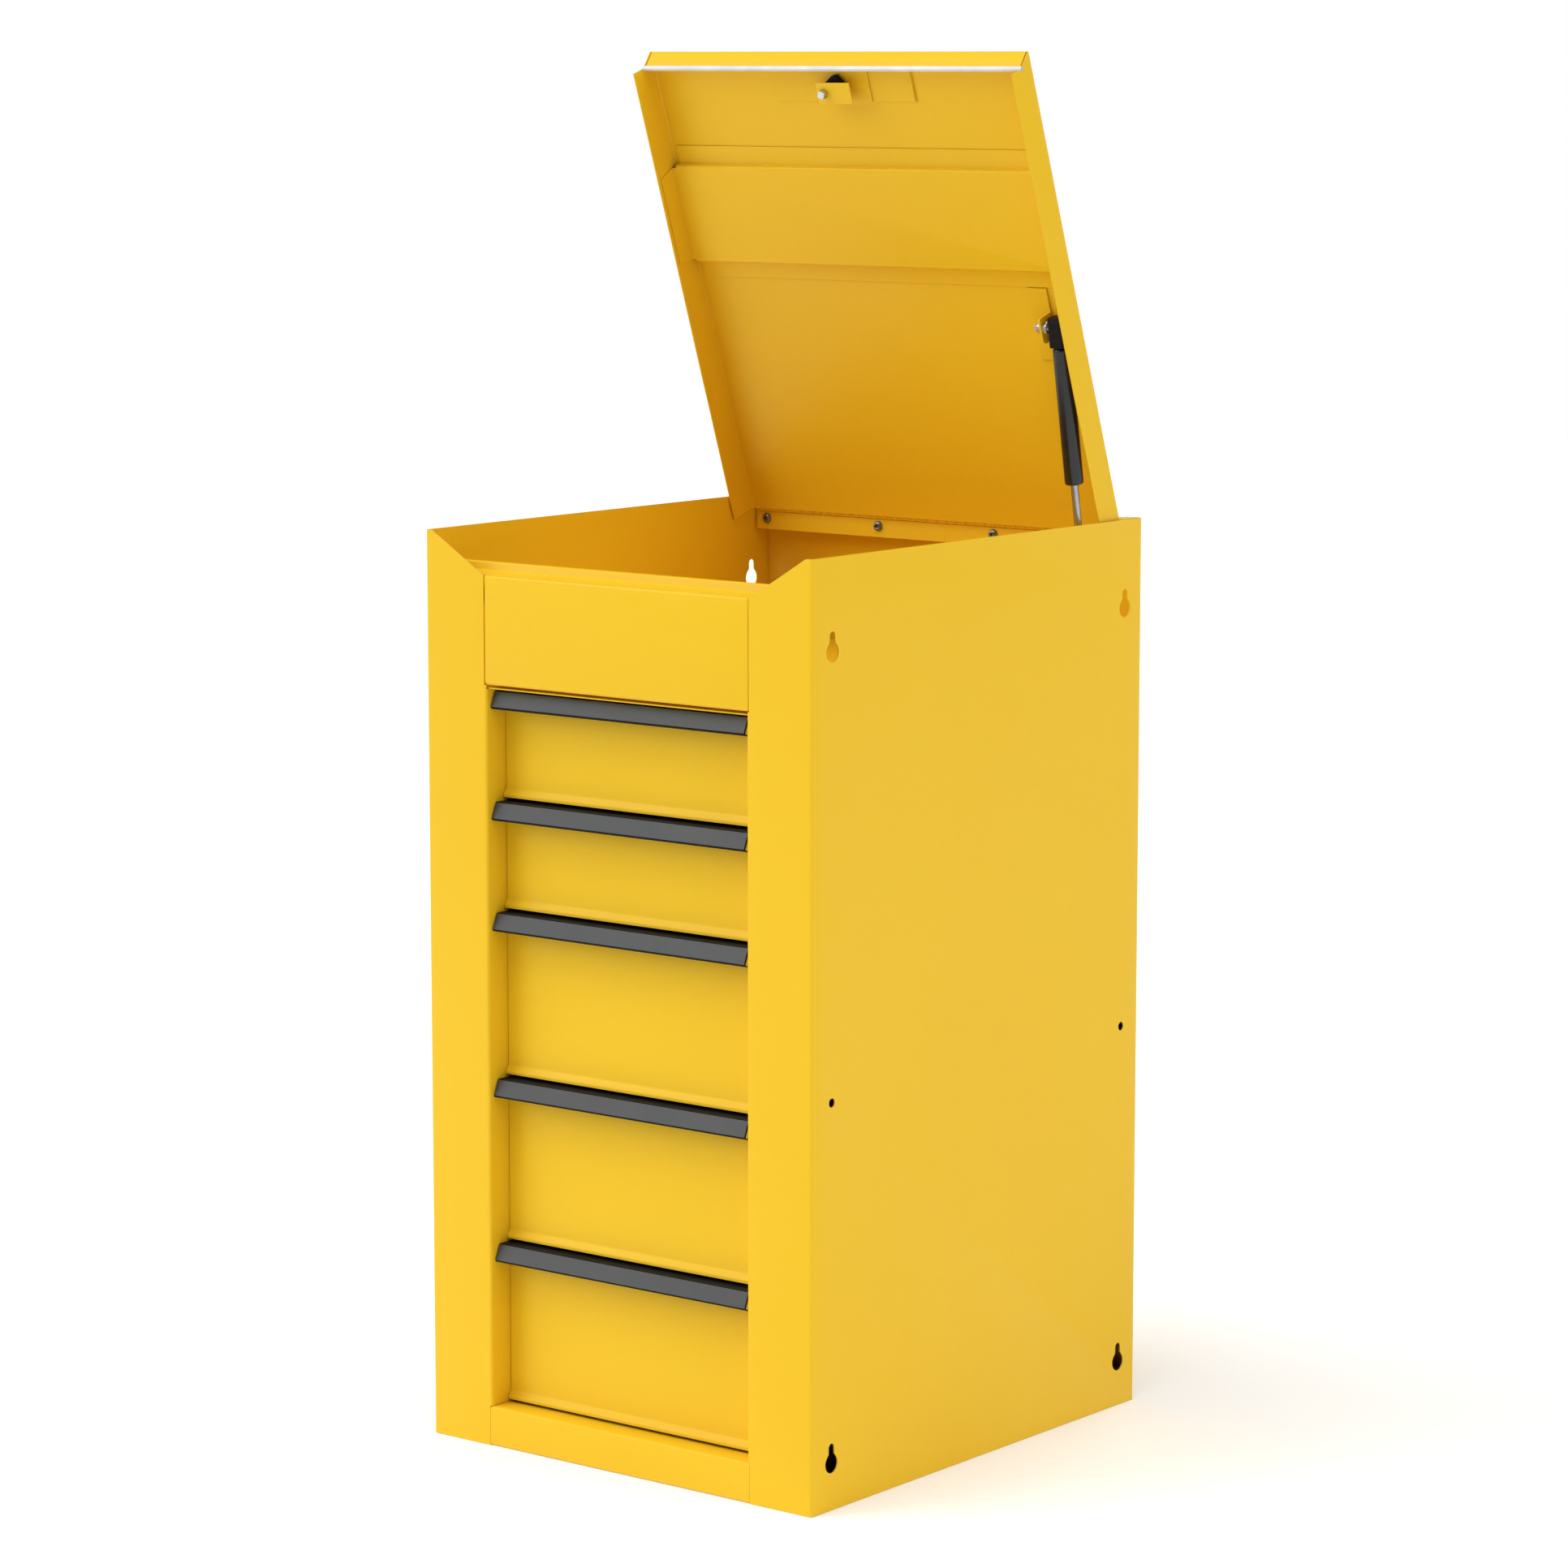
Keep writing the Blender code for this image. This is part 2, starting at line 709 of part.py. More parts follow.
def join_meshes(objects):
    """Separate solids gathered into one object, to be welded on in one step."""
    gathered = bmesh.new()
    for obj in objects:
        gathered.from_mesh(obj.data)
        bpy.data.objects.remove(obj, do_unlink=True)
    return from_bmesh("gathered", gathered)


def turned(name, profile, steps):
    """Solid of revolution about Z. The profile is a closed loop of (radius, height)."""
    solid = bmesh.new()
    rings = []
    for radius, height in profile:
        if radius == 0.0:
            rings.append([solid.verts.new((0.0, 0.0, height))] * steps)
        else:
            ring = circle((0.0, 0.0), radius, steps)
            rings.append([solid.verts.new((a, b, height)) for a, b in ring])
    for low, high in zip(rings, rings[1:] + rings[:1]):
        for i in range(steps):
            j = (i + 1) % steps
            corners = list(dict.fromkeys((low[i], low[j], high[j], high[i])))
            if len(corners) > 2:
                solid.faces.new(corners)
    return from_bmesh(name, solid)


def hinge_screw(name, x):
    """Button-head screw through the leaf and the strip behind it."""
    head = SCREW_HEAD
    profile = [
        (0.0, SCREW_DOME),
        (head * SCREW_CROWN[0], SCREW_DOME * SCREW_CROWN[1]),
        (head * SCREW_RIM[0], SCREW_DOME * SCREW_RIM[1]),
        (head, 0.0),
        (SCREW_SHANK, 0.0),
        (SCREW_SHANK, -SCREW_LENGTH),
        (0.0, -SCREW_LENGTH),
    ]
    screw = turned(name, profile, 12)
    depth = SCREW_DOME * SCREW_SOCKET[1]
    socket = rod("cut_socket", "Z", (0.0, 0.0), head * SCREW_SOCKET[0], depth, SCREW_DOME * 2, steps=6)
    screw = paint(cut(screw, socket), ZINC)
    screw.rotation_euler = (math.pi / 2, 0.0, 0.0)
    screw.location = (x, HINGE_Y - LEAF_FAR - GAP, HINGE_Z - SCREW_DROP)
    return screw


def add_case_hinge():
    leaf = hinge_leaf("hinge_case_leaf", quarter_turn, 0, LEAF_DROP)
    cutters = hinge_screw_holes(SCREW_SHANK + GAP)
    for cutter in cutters:
        for vertex in cutter.data.vertices:
            vertex.co -= Vector((0.0, HINGE_Y, HINGE_Z))
    leaf = paint(cut(leaf, *cutters), PAINT)
    leaf.location = (0.0, HINGE_Y, HINGE_Z)
    pin = paint(rod("hinge_pin", "X", (0.0, 0.0), PIN_RADIUS, -HINGE_HALF, HINGE_HALF, 10), STEEL)
    pin.location = (0.0, HINGE_Y, HINGE_Z)
    for i, x in enumerate(SCREW_X):
        hinge_screw(f"hinge_screw_{i + 1}", x)


# ---------------------------------------------------------------- lid, in (x, -s, -h) about the hinge
def lid_lip_frame():
    """Direction down the front lip, its inward normal, and its free edge."""
    down = Vector((LIP_BACK, -LIP_DROP)).normalized()
    inward = Vector((-down.y, down.x))
    edge = Vector((LIP_BACK - LID_LENGTH, -LID_SKIN - LIP_DROP))
    return down, inward, edge


def lid_shell():
    """Skin and front lip in one fold, with a flange welded along each side."""
    edge = lid_lip_frame()[2]
    rear = (-LID_REAR, -LID_SKIN)
    corner = (-LID_LENGTH, -LID_SKIN)
    lip_half = LID_HALF - SHEET - LIP_END_INSET
    path = [rear, corner, tuple(edge)]
    skin = folded("lid_shell", path, "X", -lip_half, lip_half, SHEET, LID_BEND)
    depth = LID_SKIN + LID_FLANGE
    strip = LID_HALF - lip_half + SHEET
    path = [(LID_HALF, -depth), (LID_HALF, -LID_SKIN), (LID_HALF - strip, -LID_SKIN)]
    turn = round_corner(Vector(rear), Vector(corner), edge, LID_BEND)
    outside = [(rear[0], CLEAR), rear] + [tuple(p) for p in turn]
    outside += [tuple(edge), (edge.x, -depth - CLEAR)]
    outside += [(-LID_LENGTH - CLEAR, -depth - CLEAR), (-LID_LENGTH - CLEAR, CLEAR)]
    wide = (-LID_HALF - CLEAR, LID_HALF + CLEAR)
    flanges = []
    for side in (-1, 1):
        outline = mirrored(folded_outline(path), side)
        flange = prism("flange", outline, "Y", -LID_LENGTH - SHEET, -LID_REAR)
        cutters = [
            prism("cut_outside", outside, "X", *wide),
            prism("cut_notch", trim_section(GAP), "X", *wide),
        ]
        flanges.append(cut(flange, *cutters))
    return paint(weld(skin, *flanges), PAINT)


def trim_section(grow=0.0):
    """Outline round the lip's free edge, without its slot when grown for clearance."""
    down, inward, edge = lid_lip_frame()
    near, far = -TRIM_NEAR - grow, TRIM_FAR + grow
    top, end = -TRIM_RISE - grow, TRIM_END + grow
    if grow:
        corners = [(top, near), (end, near), (end, far), (top, far)]
    else:
        corners = [
            (top, near),
            (end - TRIM_CORNER, near),
            (end, near + TRIM_CORNER),
            (end, far - TRIM_CORNER),
            (end - TRIM_CORNER, far),
            (top, far),
            (top, SHEET + GAP),
            (GAP, SHEET + GAP),
            (GAP, -GAP),
            (top, -GAP),
        ]
    return [tuple(edge + down * a + inward * b) for a, b in corners]


def lid_stiffener():
    """Hat-section channel across the lid, its crown turned out against both side flanges."""
    sheet = TRAY_SHEET
    base = LID_SKIN + SHEET + GAP + sheet
    front, rear = STIFFENER_S
    path = [
        (-front - STIFFENER_FLANGE, -base),
        (-front, -base),
        (-front, -STIFFENER_DEPTH),
        (-rear, -STIFFENER_DEPTH),
        (-rear, -base),
        (-rear + STIFFENER_FLANGE, -base),
    ]
    half = LID_HALF - SHEET - GAP
    stop = half - STIFFENER_STOP
    hat = folded("lid_stiffener", path, "X", -stop, stop, sheet, STIFFENER_BEND)
    inset = STIFFENER_TAB_INSET
    top = -STIFFENER_DEPTH + sheet
    tab = [
        (-front + inset, top),
        (-rear - inset, top),
        (-rear - 2 * inset, -STIFFENER_TAB),
        (-front + 3 * inset, -STIFFENER_TAB),
    ]
    crown_y = (-front + inset, -rear - inset)
    ends = []
    for side in (-1, 1):
        crown_x = span(side, stop - STIFFENER_BEND, half - sheet / 2)
        ends.append(prism("tab", tab, "X", *span(side, half - sheet, half)))
        ends.append(block("crown_end", crown_x, crown_y, (-STIFFENER_DEPTH, top)))
    return paint(weld(hat, *ends), PAINT)


def strut_upper_parts():
    """Eared bracket on the lid and the stud that carries the strut's upper socket."""
    s, h = STRUT_HEAD
    centre = (-s, -h)
    base = -LID_SKIN - SHEET - GAP
    near, far = STRUT_X - EAR_NEAR, STRUT_X - EAR_NEAR + EAR_SHEET
    foot = block(
        "strut_upper_bracket",
        (near - EAR_FOOT_X, far),
        (-s - EAR_FOOT_S[1], -s + EAR_FOOT_S[0]),
        (base - EAR_FOOT_SHEET, base),
    )
    front = -h - EAR_FRONT
    low, high = -s + EAR_REACH[0], -s - EAR_REACH[1]
    ear = rounded([(low, base), (low, front), (high, front), (high, base)], (0, *EAR_CORNERS, 0))
    bracket = weld(foot, prism("ear", ear, "X", near, far))
    hole = rod("cut_stud", "X", centre, STUD_RADIUS + GAP, near - SHEET, far + SHEET)
    bracket = paint(cut(bracket, hole), PAINT)
    stop = STRUT_X - SOCKET_HALF - STUD_CLEAR
    stud = rod("strut_upper_stud", "X", centre, STUD_RADIUS, near - STUD_TAIL, stop, 12)
    nut = rod("nut", "X", centre, NUT_RADIUS, near - GAP - NUT_HEIGHT, near - GAP, 6)
    collar = rod("collar", "X", centre, COLLAR_RADIUS, far + GAP, far + GAP + COLLAR_LENGTH, 6)
    return [bracket, paint(weld(stud, nut, collar), ZINC)]


def convex_outline(points):
    """The points' convex outline."""
    ordered = sorted(set(points))
    halves = []
    for sequence in (ordered, ordered[::-1]):
        chain = []
        for p in sequence:
            while len(chain) > 1:
                if side_of_turn(Vector(chain[-2]), Vector(chain[-1]), Vector(p)) > 0:
                    break
                chain.pop()
            chain.append(p)
        halves.append(chain[:-1])
    return halves[0] + halves[1]


def latch_parts():
    """Plate, stepped tab and bolt at the lid's front, and the catch that swings on the bolt."""
    skin = LID_SKIN + SHEET + GAP
    low, high = -skin - TRAY_SHEET, -skin
    plate_y = (-LATCH_PLATE_S[1], -LATCH_PLATE_S[0])
    rib_y = (plate_y[0] + SHEET, plate_y[1] - SHEET)
    plate = block("latch_plate", LATCH_PLATE_X, plate_y, (low, high))
    plate = paint(weld(plate, block("rib", LATCH_RIB_X, rib_y, (low - LATCH_RIB_RISE, high))), PAINT)
    foot = low - GAP - SHEET
    tab_left, tab_right = LATCH_TAB_X
    path = [
        (LATCH_FOOT_END, foot),
        (tab_left, foot),
        (tab_left, -LATCH_DEPTH),
        (tab_right, -LATCH_DEPTH),
    ]
    bracket = folded("latch_bracket", path, "Y", -LATCH_TAB_S[1], -LATCH_TAB_S[0])
    leg_x = (LATCH_FOOT_END - SHEET, tab_left + 2 * SHEET)
    leg_y = (-LATCH_TAB_S[1] - SHEET, -LATCH_LEG_TOP)
    bracket = cut(bracket, block("cut_leg", leg_x, leg_y, (SHEET - LATCH_DEPTH, 0.0)))
    base_y = (plate_y[0] + LATCH_BASE_EDGE, plate_y[1] - LATCH_BASE_EDGE)
    bracket = weld(bracket, block("base", LATCH_BASE_X, base_y, (foot, low - GAP)))
    bolt_x, bolt_s = LATCH_BOLT
    centre = (bolt_x, -bolt_s)
    bore_radius = LATCH_BOLT_RADIUS + GAP
    through = (-LATCH_DEPTH - LATCH_HEAD_RISE, low - SHEET)
    bracket = paint(cut(bracket, rod("cut_bolt", "Z", centre, bore_radius, *through, 12)), PAINT)
    tail = CATCH_TAIL - CATCH_DEPTHS[0]
    bolt = rod("latch_bolt", "Z", centre, LATCH_BOLT_RADIUS, -LATCH_DEPTH - SHEET, tail, 12)
    half = LATCH_HEAD_HALF
    head_z = (-LATCH_DEPTH - LATCH_HEAD_RISE, -LATCH_DEPTH - GAP)
    head = block("head", (-half, half), (-half, half), head_z)
    turn_flat(head, LATCH_HEAD_TURN, centre)
    bolt = paint(weld(bolt, head), ZINC)
    outline = circle(centre, CATCH_HUB, 16)
    for across, along, radius in (CATCH_NOSE, CATCH_HEEL):
        outline += circle((bolt_x + across, -bolt_s - along), radius, 10)
    catch = prism("latch_catch", convex_outline(outline), "Z", -CATCH_DEPTHS[1], -CATCH_DEPTHS[0])
    catch = paint(cut(catch, rod("cut_bore", "Z", centre, bore_radius, *through, 12)), BLACK)
    return [plate, bracket, bolt], catch


def turn_flat(obj, angle, centre):
    """Turns a piece about its own Z axis, then moves it to a centre in plan."""
    for vertex in obj.data.vertices:
        a, b = vertex.co.x, vertex.co.y
        vertex.co.x = centre[0] + a * math.cos(angle) - b * math.sin(angle)
        vertex.co.y = centre[1] + a * math.sin(angle) + b * math.cos(angle)


def add_lid():
    axis = add_empty("lid_axis", (0.0, HINGE_Y, HINGE_Z), -LID_OPEN)
    trim = paint(prism("lid_edge_trim", trim_section(), "X", -LID_HALF, LID_HALF), TRIM)
    leaf = paint(hinge_leaf("hinge_lid_leaf", list, 1, LEAF_DROP), PAINT)
    fixed, catch = latch_parts()
    hang(axis, lid_shell(), lid_stiffener(), trim, leaf, *strut_upper_parts(), *fixed)
    bolt_x, bolt_s = LATCH_BOLT
    pivot = add_empty("latch_axis", (bolt_x, -bolt_s, 0.0))
    for vertex in catch.data.vertices:
        vertex.co -= Vector((bolt_x, -bolt_s, 0.0))
    hang(pivot, catch)
    hang(axis, pivot)


# ---------------------------------------------------------------- gas strut
def socket(name, centre, up, down):
    """Plastic end socket, square with cut corners, along the strut's axis."""
    half = SOCKET_HALF
    edge = half - SOCKET_CUT
    outline = [(half, -edge), (half, edge), (edge, half), (-edge, half)]
    outline += [(-a, -b) for a, b in outline]
    return prism(name, outline, "Z", centre - down, centre + up)


def add_strut():
    """Rod below on the case, tube above on the lid, both about the strut's lower pivot."""
    axis = add_empty("strut_axis", (STRUT_X, *STRUT_FOOT), STRUT_LEAN)
    bottom, top = TUBE_NEAR, STRUT_SPAN - SOCKET_LONG
    neck = TUBE_NECK
    wall = TUBE_WALL
    lip = ROD_RADIUS + GAP
    inside = TUBE_RADIUS - wall
    tube = turned(
        "strut_cylinder",
        [
            (lip, bottom),
            (inside, bottom),
            (TUBE_RADIUS, bottom + wall),
            (TUBE_RADIUS, top - 2 * wall),
            (neck, top - wall),
            (neck, top + wall),
            (0.0, top + wall),
            (0.0, top - 3 * wall),
            (inside, top - 3 * wall),
            (inside, bottom + 3 * wall),
            (lip, bottom + 3 * wall),
        ],
        20,
    )
    upper = socket("upper_socket", STRUT_SPAN, SOCKET_SHORT, SOCKET_LONG)
    tube = paint(weld(tube, upper), BLACK)
    piston = inside - GAP
    rod_foot = SOCKET_LONG - wall
    rod_top = bottom + PISTON_DEPTH
    piston_top = rod_top + PISTON_LENGTH
    stem = turned(
        "strut_rod",
        [
            (0.0, rod_foot),
            (ROD_RADIUS, rod_foot),
            (ROD_RADIUS, rod_top),
            (piston, rod_top),
            (piston, piston_top),
            (0.0, piston_top),
        ],
        16,
    )
    stem = paint(weld(stem, socket("lower_socket", 0.0, SOCKET_LONG, SOCKET_SHORT)), STEEL)
    hang(axis, stem, tube)


def strut_lower_bracket():
    """Plate on the right side panel with the stud that carries the strut's lower socket."""
    y, z = STRUT_FOOT
    across, up = PLATE_HALF
    plate_x = (INNER_HALF - PLATE_SHEET, INNER_HALF)
    bracket = block("strut_lower_bracket", plate_x, (y - across, y + across), (z - up, z + up))
    near = STRUT_X + SOCKET_HALF + 2 * GAP
    collar = rod("collar", "X", (y, z), COLLAR_RADIUS, near, INNER_HALF - PLATE_SHEET / 2, 6)
    return paint(weld(bracket, collar), ZINC)


def build():
    clear_scene()
    side_panel("left_side_panel", -1)
    side_panel("right_side_panel", 1)
    inner_wall("left_inner_wall", -1)
    inner_wall("right_inner_wall", 1)
    back_panel()
    floor_tray("bottom_pan", SHEET + GAP, 0.015)
    bottom_rail()
    floor_tray("till_floor", TILL_FLOOR_TOP - SHEET, 0.012)
    till_front_panel()
    till_ledge()
    for index in range(len(DRAWER_TOPS)):
        add_drawer(index)
    add_case_hinge()
    add_lid()
    strut_lower_bracket()
    add_strut()


build()
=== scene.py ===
"""Looks for a hang-on side cabinet: folded sheet steel in yellow powder coat, five drawers, lidded top till.

Metres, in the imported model's frame: +Z up, the drawers face -Y, the lid is open and the drawers shut.
"""
import json
import math

import bmesh
import bpy
from mathutils import Matrix, Vector


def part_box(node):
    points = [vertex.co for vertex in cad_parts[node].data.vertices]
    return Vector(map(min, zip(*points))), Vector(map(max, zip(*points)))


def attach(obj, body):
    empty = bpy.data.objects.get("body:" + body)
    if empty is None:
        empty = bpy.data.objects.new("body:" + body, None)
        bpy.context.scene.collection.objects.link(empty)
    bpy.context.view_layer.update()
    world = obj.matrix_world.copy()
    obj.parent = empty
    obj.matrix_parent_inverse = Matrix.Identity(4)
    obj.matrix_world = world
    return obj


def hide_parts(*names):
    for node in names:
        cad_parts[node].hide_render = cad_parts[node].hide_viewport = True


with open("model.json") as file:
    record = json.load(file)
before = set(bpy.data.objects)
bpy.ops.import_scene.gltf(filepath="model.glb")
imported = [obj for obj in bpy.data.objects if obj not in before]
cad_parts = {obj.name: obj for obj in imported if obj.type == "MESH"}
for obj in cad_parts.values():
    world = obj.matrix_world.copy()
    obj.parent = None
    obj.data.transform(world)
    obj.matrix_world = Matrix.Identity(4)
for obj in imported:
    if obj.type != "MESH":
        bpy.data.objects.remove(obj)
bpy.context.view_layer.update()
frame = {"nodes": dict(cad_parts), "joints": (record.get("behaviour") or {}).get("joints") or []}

NODES = frame["nodes"]
JOINTS = {joint["name"]: joint for joint in frame["joints"]}

# ---------------------------------------------------------------- driving values
CAMERA_PLACE = (3.06817, -3.89475, 1.37426)
CAMERA_AZIMUTH = math.radians(38.281)
CAMERA_ELEVATION = math.radians(8.290)
CAMERA_LENS = 114.69
CAMERA_SENSOR = 36.0
CAMERA_REACH = 50.0

SMOOTH_ANGLE = math.radians(38)
MERGE_DISTANCE = 2e-6
WELD_DISTANCE = 1e-7
NO_RADIUS = 1e-9
LID_OPEN = math.radians(70.75)
LID_MATRIX = Matrix.Translation(JOINTS["lid_hinge"]["pos_m"]) @ Matrix.Rotation(-LID_OPEN, 4, "X")

# Pull: where its sloped face starts and ends, from the top rear corner of its box, and the plate set on it
PULL_FACE_TOP = (0.0360, 0.0)
PULL_FACE_FOOT = (0.0430, 0.0171)
PULL_PLATE_SPAN = (0.0009, 0.0169)
PULL_PLATE_THICK = 0.0006
PULL_PLATE_SEAT = 0.0001
PULL_PLATE_INSET = 0.0005
PULL_PLATE_CHAMFER = 0.00025

# Button-head screw, in (height over its seat, radius), with the hexagon's width across flats where cut
SCREW_RISE = 0.0032
SCREW_RIM = 0.0004
SCREW_RIM_BULGE = 0.00005
SCREW_DOME_RISE = 0.0028
SCREW_DOME_TURN = math.radians(62)
SCREW_DOME_DRAW = 0.44
SCREW_DOME_STEPS = 8
SCREW_RECESS = ((0.0031, 0.0025), (0.0029, 0.0023, 0.0040), (0.0010, 0.0023, 0.0039), (0.0008, 0.0))
SCREW_SHANK = ((-0.0070, 0.0), (-0.0070, 0.0018), (-0.0064, 0.0022), (-0.0001, 0.0022))
SCREW_UNDERCUT = 0.96

# Gas spring, along its own axis from the lower pivot
STRUT_LEAN = math.radians(9.74)
STRUT_SPAN = 0.2826
STRUT_MATRIX = Matrix.Translation(JOINTS["strut_swing"]["pos_m"]) @ Matrix.Rotation(STRUT_LEAN, 4, "X")
TUBE_RADIUS = 0.0095
TUBE_NEAR = 0.1248
ROD_RADIUS = 0.0039
SOCKET_HALF = 0.0100
SOCKET_CUT = 0.0035
SOCKET_LONG = 0.0182
SOCKET_SHORT = 0.0114
SOCKET_CHAMFER = 0.0009
ROD_CLEARANCE = 0.0003
ROD_BURIED = 0.0012
ROD_INSIDE = 0.0340
SEAL_DEPTH = 0.0030
TUBE_NOSE = 0.0022
TUBE_TAIL = 0.0026
TUBE_NECK_STEP = 0.0029
TUBE_NECK_LENGTH = 0.0038
TUBE_BURIED = 0.0006
TUBE_ROUND_STEPS = 6

# Stud of the spring's upper end, in heights from the bracket's face towards the spring, and in radii
STUD_PLACE = (0.2289, 0.0189)
# length of the tip, its radius at the end, and where it meets the thread
STUD_TIP = (0.0006, 0.0030, 0.0037)
STUD_SHANK = 0.0036
THREAD_PITCH = 0.0008
THREAD_RADII = (0.0034, 0.0038)
NUT_FLATS = 0.0104
NUT_FAR = 0.0023
NUT_NEAR = 0.0073
NUT_CHAMFER = 0.0006
NUT_RADII = (0.0052, 0.0061)
COLLAR_FLATS = NUT_FLATS * 1.1
COLLAR_HEIGHTS = (0.0003, 0.0008, 0.0044, 0.0049)
COLLAR_RADII = (0.0060, 0.0066, 0.0066, 0.0058)

# Latch, in (across, -along the lid, -depth below the hinge axis)
BOLT_PLACE = (-0.0090, -0.4723)
BOLT_HEAD_DEPTHS = (-0.0271, -0.0210)
BOLT_HEAD_HALF = 0.0037
BOLT_HEAD_TURN = math.radians(24)
BOLT_HEAD_CHAMFER = 0.0006
BOLT_SHANK = 0.0031
BOLT_SHANK_END = -0.0065
BOLT_SHANK_CHAMFER = 0.0003
BOLT_SHANK_GAP = 0.0001
CATCH_DEPTHS = (-0.0130, -0.0085)
CATCH_LOBES = ((0.0, 0.0, 0.0085), (0.0090, -0.0095, 0.0060), (0.0150, -0.0060, 0.0040))
CATCH_CHAMFER = 0.0008

# Bearing balls of the drawer slides
BALL_RADIUS = 0.0020
BALL_COUNT = 11
BALL_START = 0.006
BALL_PITCH = 0.0095
BALL_IN = 0.0062
BALL_DROP = 0.0038

# Linear colours
YELLOW = (0.862, 0.535, 0.016)
YELLOW_DEEP = (0.846, 0.519, 0.014)
# paler yellow: random specks, and along edges a thinner film with a painted highlight
YELLOW_PALE_AND_HIGHLIGHT = (0.95, 0.70, 0.10)
GREY = (0.044, 0.047, 0.046)
GREY_DARK = (0.037, 0.040, 0.040)
# painted highlight along the pulls' edges
GREY_EDGE_HIGHLIGHT = (0.19, 0.19, 0.19)
ZINC = (0.66, 0.67, 0.69)
ZINC_DULL = (0.50, 0.52, 0.55)
STEEL = (0.58, 0.58, 0.58)
STEEL_DULL = (0.44, 0.44, 0.44)
ROD_STEEL = (0.40, 0.42, 0.46)
ROD_STEEL_DULL = (0.33, 0.35, 0.39)
DARK_ZINC = (0.24, 0.27, 0.33)
DARK_ZINC_DULL = (0.17, 0.19, 0.24)
ENAMEL = (0.005, 0.005, 0.006)
ENAMEL_LIGHT = (0.008, 0.008, 0.009)
PLASTIC = (0.007, 0.007, 0.008)
PLASTIC_LIGHT = (0.011, 0.011, 0.012)
# painted highlight along the edges of the black plastic
PLASTIC_EDGE_HIGHLIGHT = (0.04, 0.04, 0.04)
PALE = (0.78, 0.78, 0.76)
PALE_DULL = (0.66, 0.66, 0.64)
FLOOR = (0.93, 0.93, 0.93)
FLOOR_DULL = (0.92, 0.92, 0.92)
WHITE = (1.0, 1.0, 1.0, 1.0)

# Studio: name, azimuth and elevation in degrees, and strength of each softbox
SOFTBOXES = (
    ("top_softbox", 0, 80, 1.78),
    ("front_left_softbox", -50, 30, 1.66),
    ("front_high_softbox", 0, 45, 0.35),
    ("right_softbox", 90, 20, 1.05),
    ("rear_right_softbox", 135, 35, 0.10),
    ("rear_softbox", 190, 15, 1.10),
)
SOFTBOX_SPREAD = math.radians(50)
SOFTBOX_DISTANCE = 4.0
SURROUND_FILL = 0.03
FLOOR_HALF = 12.0
FLOOR_DROP = 0.0005
FLOOR_GLOW = 0.16


# ---------------------------------------------------------------- materials
class Graph:
    """Short hand for building one material's node tree."""

    def __init__(self, name):
        self.material = bpy.data.materials.new(name)
        self.material.use_nodes = True
        self.tree = self.material.node_tree
        self.shader = self.tree.nodes["Principled BSDF"]

    def add(self, kind, **settings):
        node = self.tree.nodes.new(kind)
        for key, value in settings.items():
            setattr(node, key, value)
        return node

    def link(self, source, target):
        self.tree.links.new(source, target)

    def place(self):
        return self.add("ShaderNodeTexCoord").outputs["Object"]

    def noise(self, scale, detail=3.0, rough=0.5, stretch=None):
        """Noise over the object's own coordinates, in cycles per metre."""
        source = self.place()
        if stretch:
            mapping = self.add("ShaderNodeMapping")
            mapping.inputs["Scale"].default_value = stretch
            self.link(source, mapping.inputs["Vector"])
            source = mapping.outputs["Vector"]
        node = self.add("ShaderNodeTexNoise")
        node.inputs["Scale"].default_value = scale
        node.inputs["Detail"].default_value = detail
        node.inputs["Roughness"].default_value = rough
        self.link(source, node.inputs["Vector"])
        return node.outputs["Fac"]

    def remap(self, value, low, high, to_low, to_high):
        node = self.add("ShaderNodeMapRange")
        for key, number in zip(("From Min", "From Max", "To Min", "To Max"), (low, high, to_low, to_high)):
            node.inputs[key].default_value = number
        self.link(value, node.inputs["Value"])
        return node.outputs["Result"]

    def mix(self, factor, first, second):
        """Mixes two colours, each a linear triple or a socket."""
        node = self.add("ShaderNodeMix", data_type="RGBA")
        self.link(factor, node.inputs["Factor"])
        for key, value in (("A", first), ("B", second)):
            socket = [s for s in node.inputs if s.name == key and s.type == "RGBA"][0]
            if isinstance(value, tuple):
                socket.default_value = (*value, 1.0)
            else:
                self.link(value, socket)
        return [s for s in node.outputs if s.type == "RGBA"][0]

    def math(self, operation, first, second):
        node = self.add("ShaderNodeMath", operation=operation)
        for socket, value in zip(node.inputs, (first, second)):
            if isinstance(value, (int, float)):
                socket.default_value = value
            else:
                self.link(value, socket)
        return node.outputs["Value"]

    def bump(self, height, distance, strength, normal=None):
        node = self.add("ShaderNodeBump")
        node.inputs["Strength"].default_value = strength
        node.inputs["Distance"].default_value = distance
        self.link(height, node.inputs["Height"])
        if normal is not None:
            self.link(normal, node.inputs["Normal"])
        return node.outputs["Normal"]

    def rounded(self, radius):
        """Normal softened along every edge."""
        node = self.add("ShaderNodeBevel")
        node.samples = 4
        node.inputs["Radius"].default_value = radius
        return node.outputs["Normal"]

    def edge_mask(self, radius):
        """One along edges and nought on flats."""
        soft = self.rounded(radius)
        true = self.add("ShaderNodeNewGeometry").outputs["Normal"]
        dot = self.add("ShaderNodeVectorMath", operation="DOT_PRODUCT")
        self.link(soft, dot.inputs[0])
        self.link(true, dot.inputs[1])
        return self.remap(dot.outputs["Value"], 0.995, 0.80, 0.0, 1.0)

    def finish(self, colour, roughness, normal, metallic=0.0, **constants):
        shader = self.shader
        self.link(colour, shader.inputs["Base Color"])
        self.link(roughness, shader.inputs["Roughness"])
        self.link(normal, shader.inputs["Normal"])
        shader.inputs["Metallic"].default_value = metallic
        for key, value in constants.items():
            shader.inputs[key.replace("_", " ")].default_value = value
        return self.material


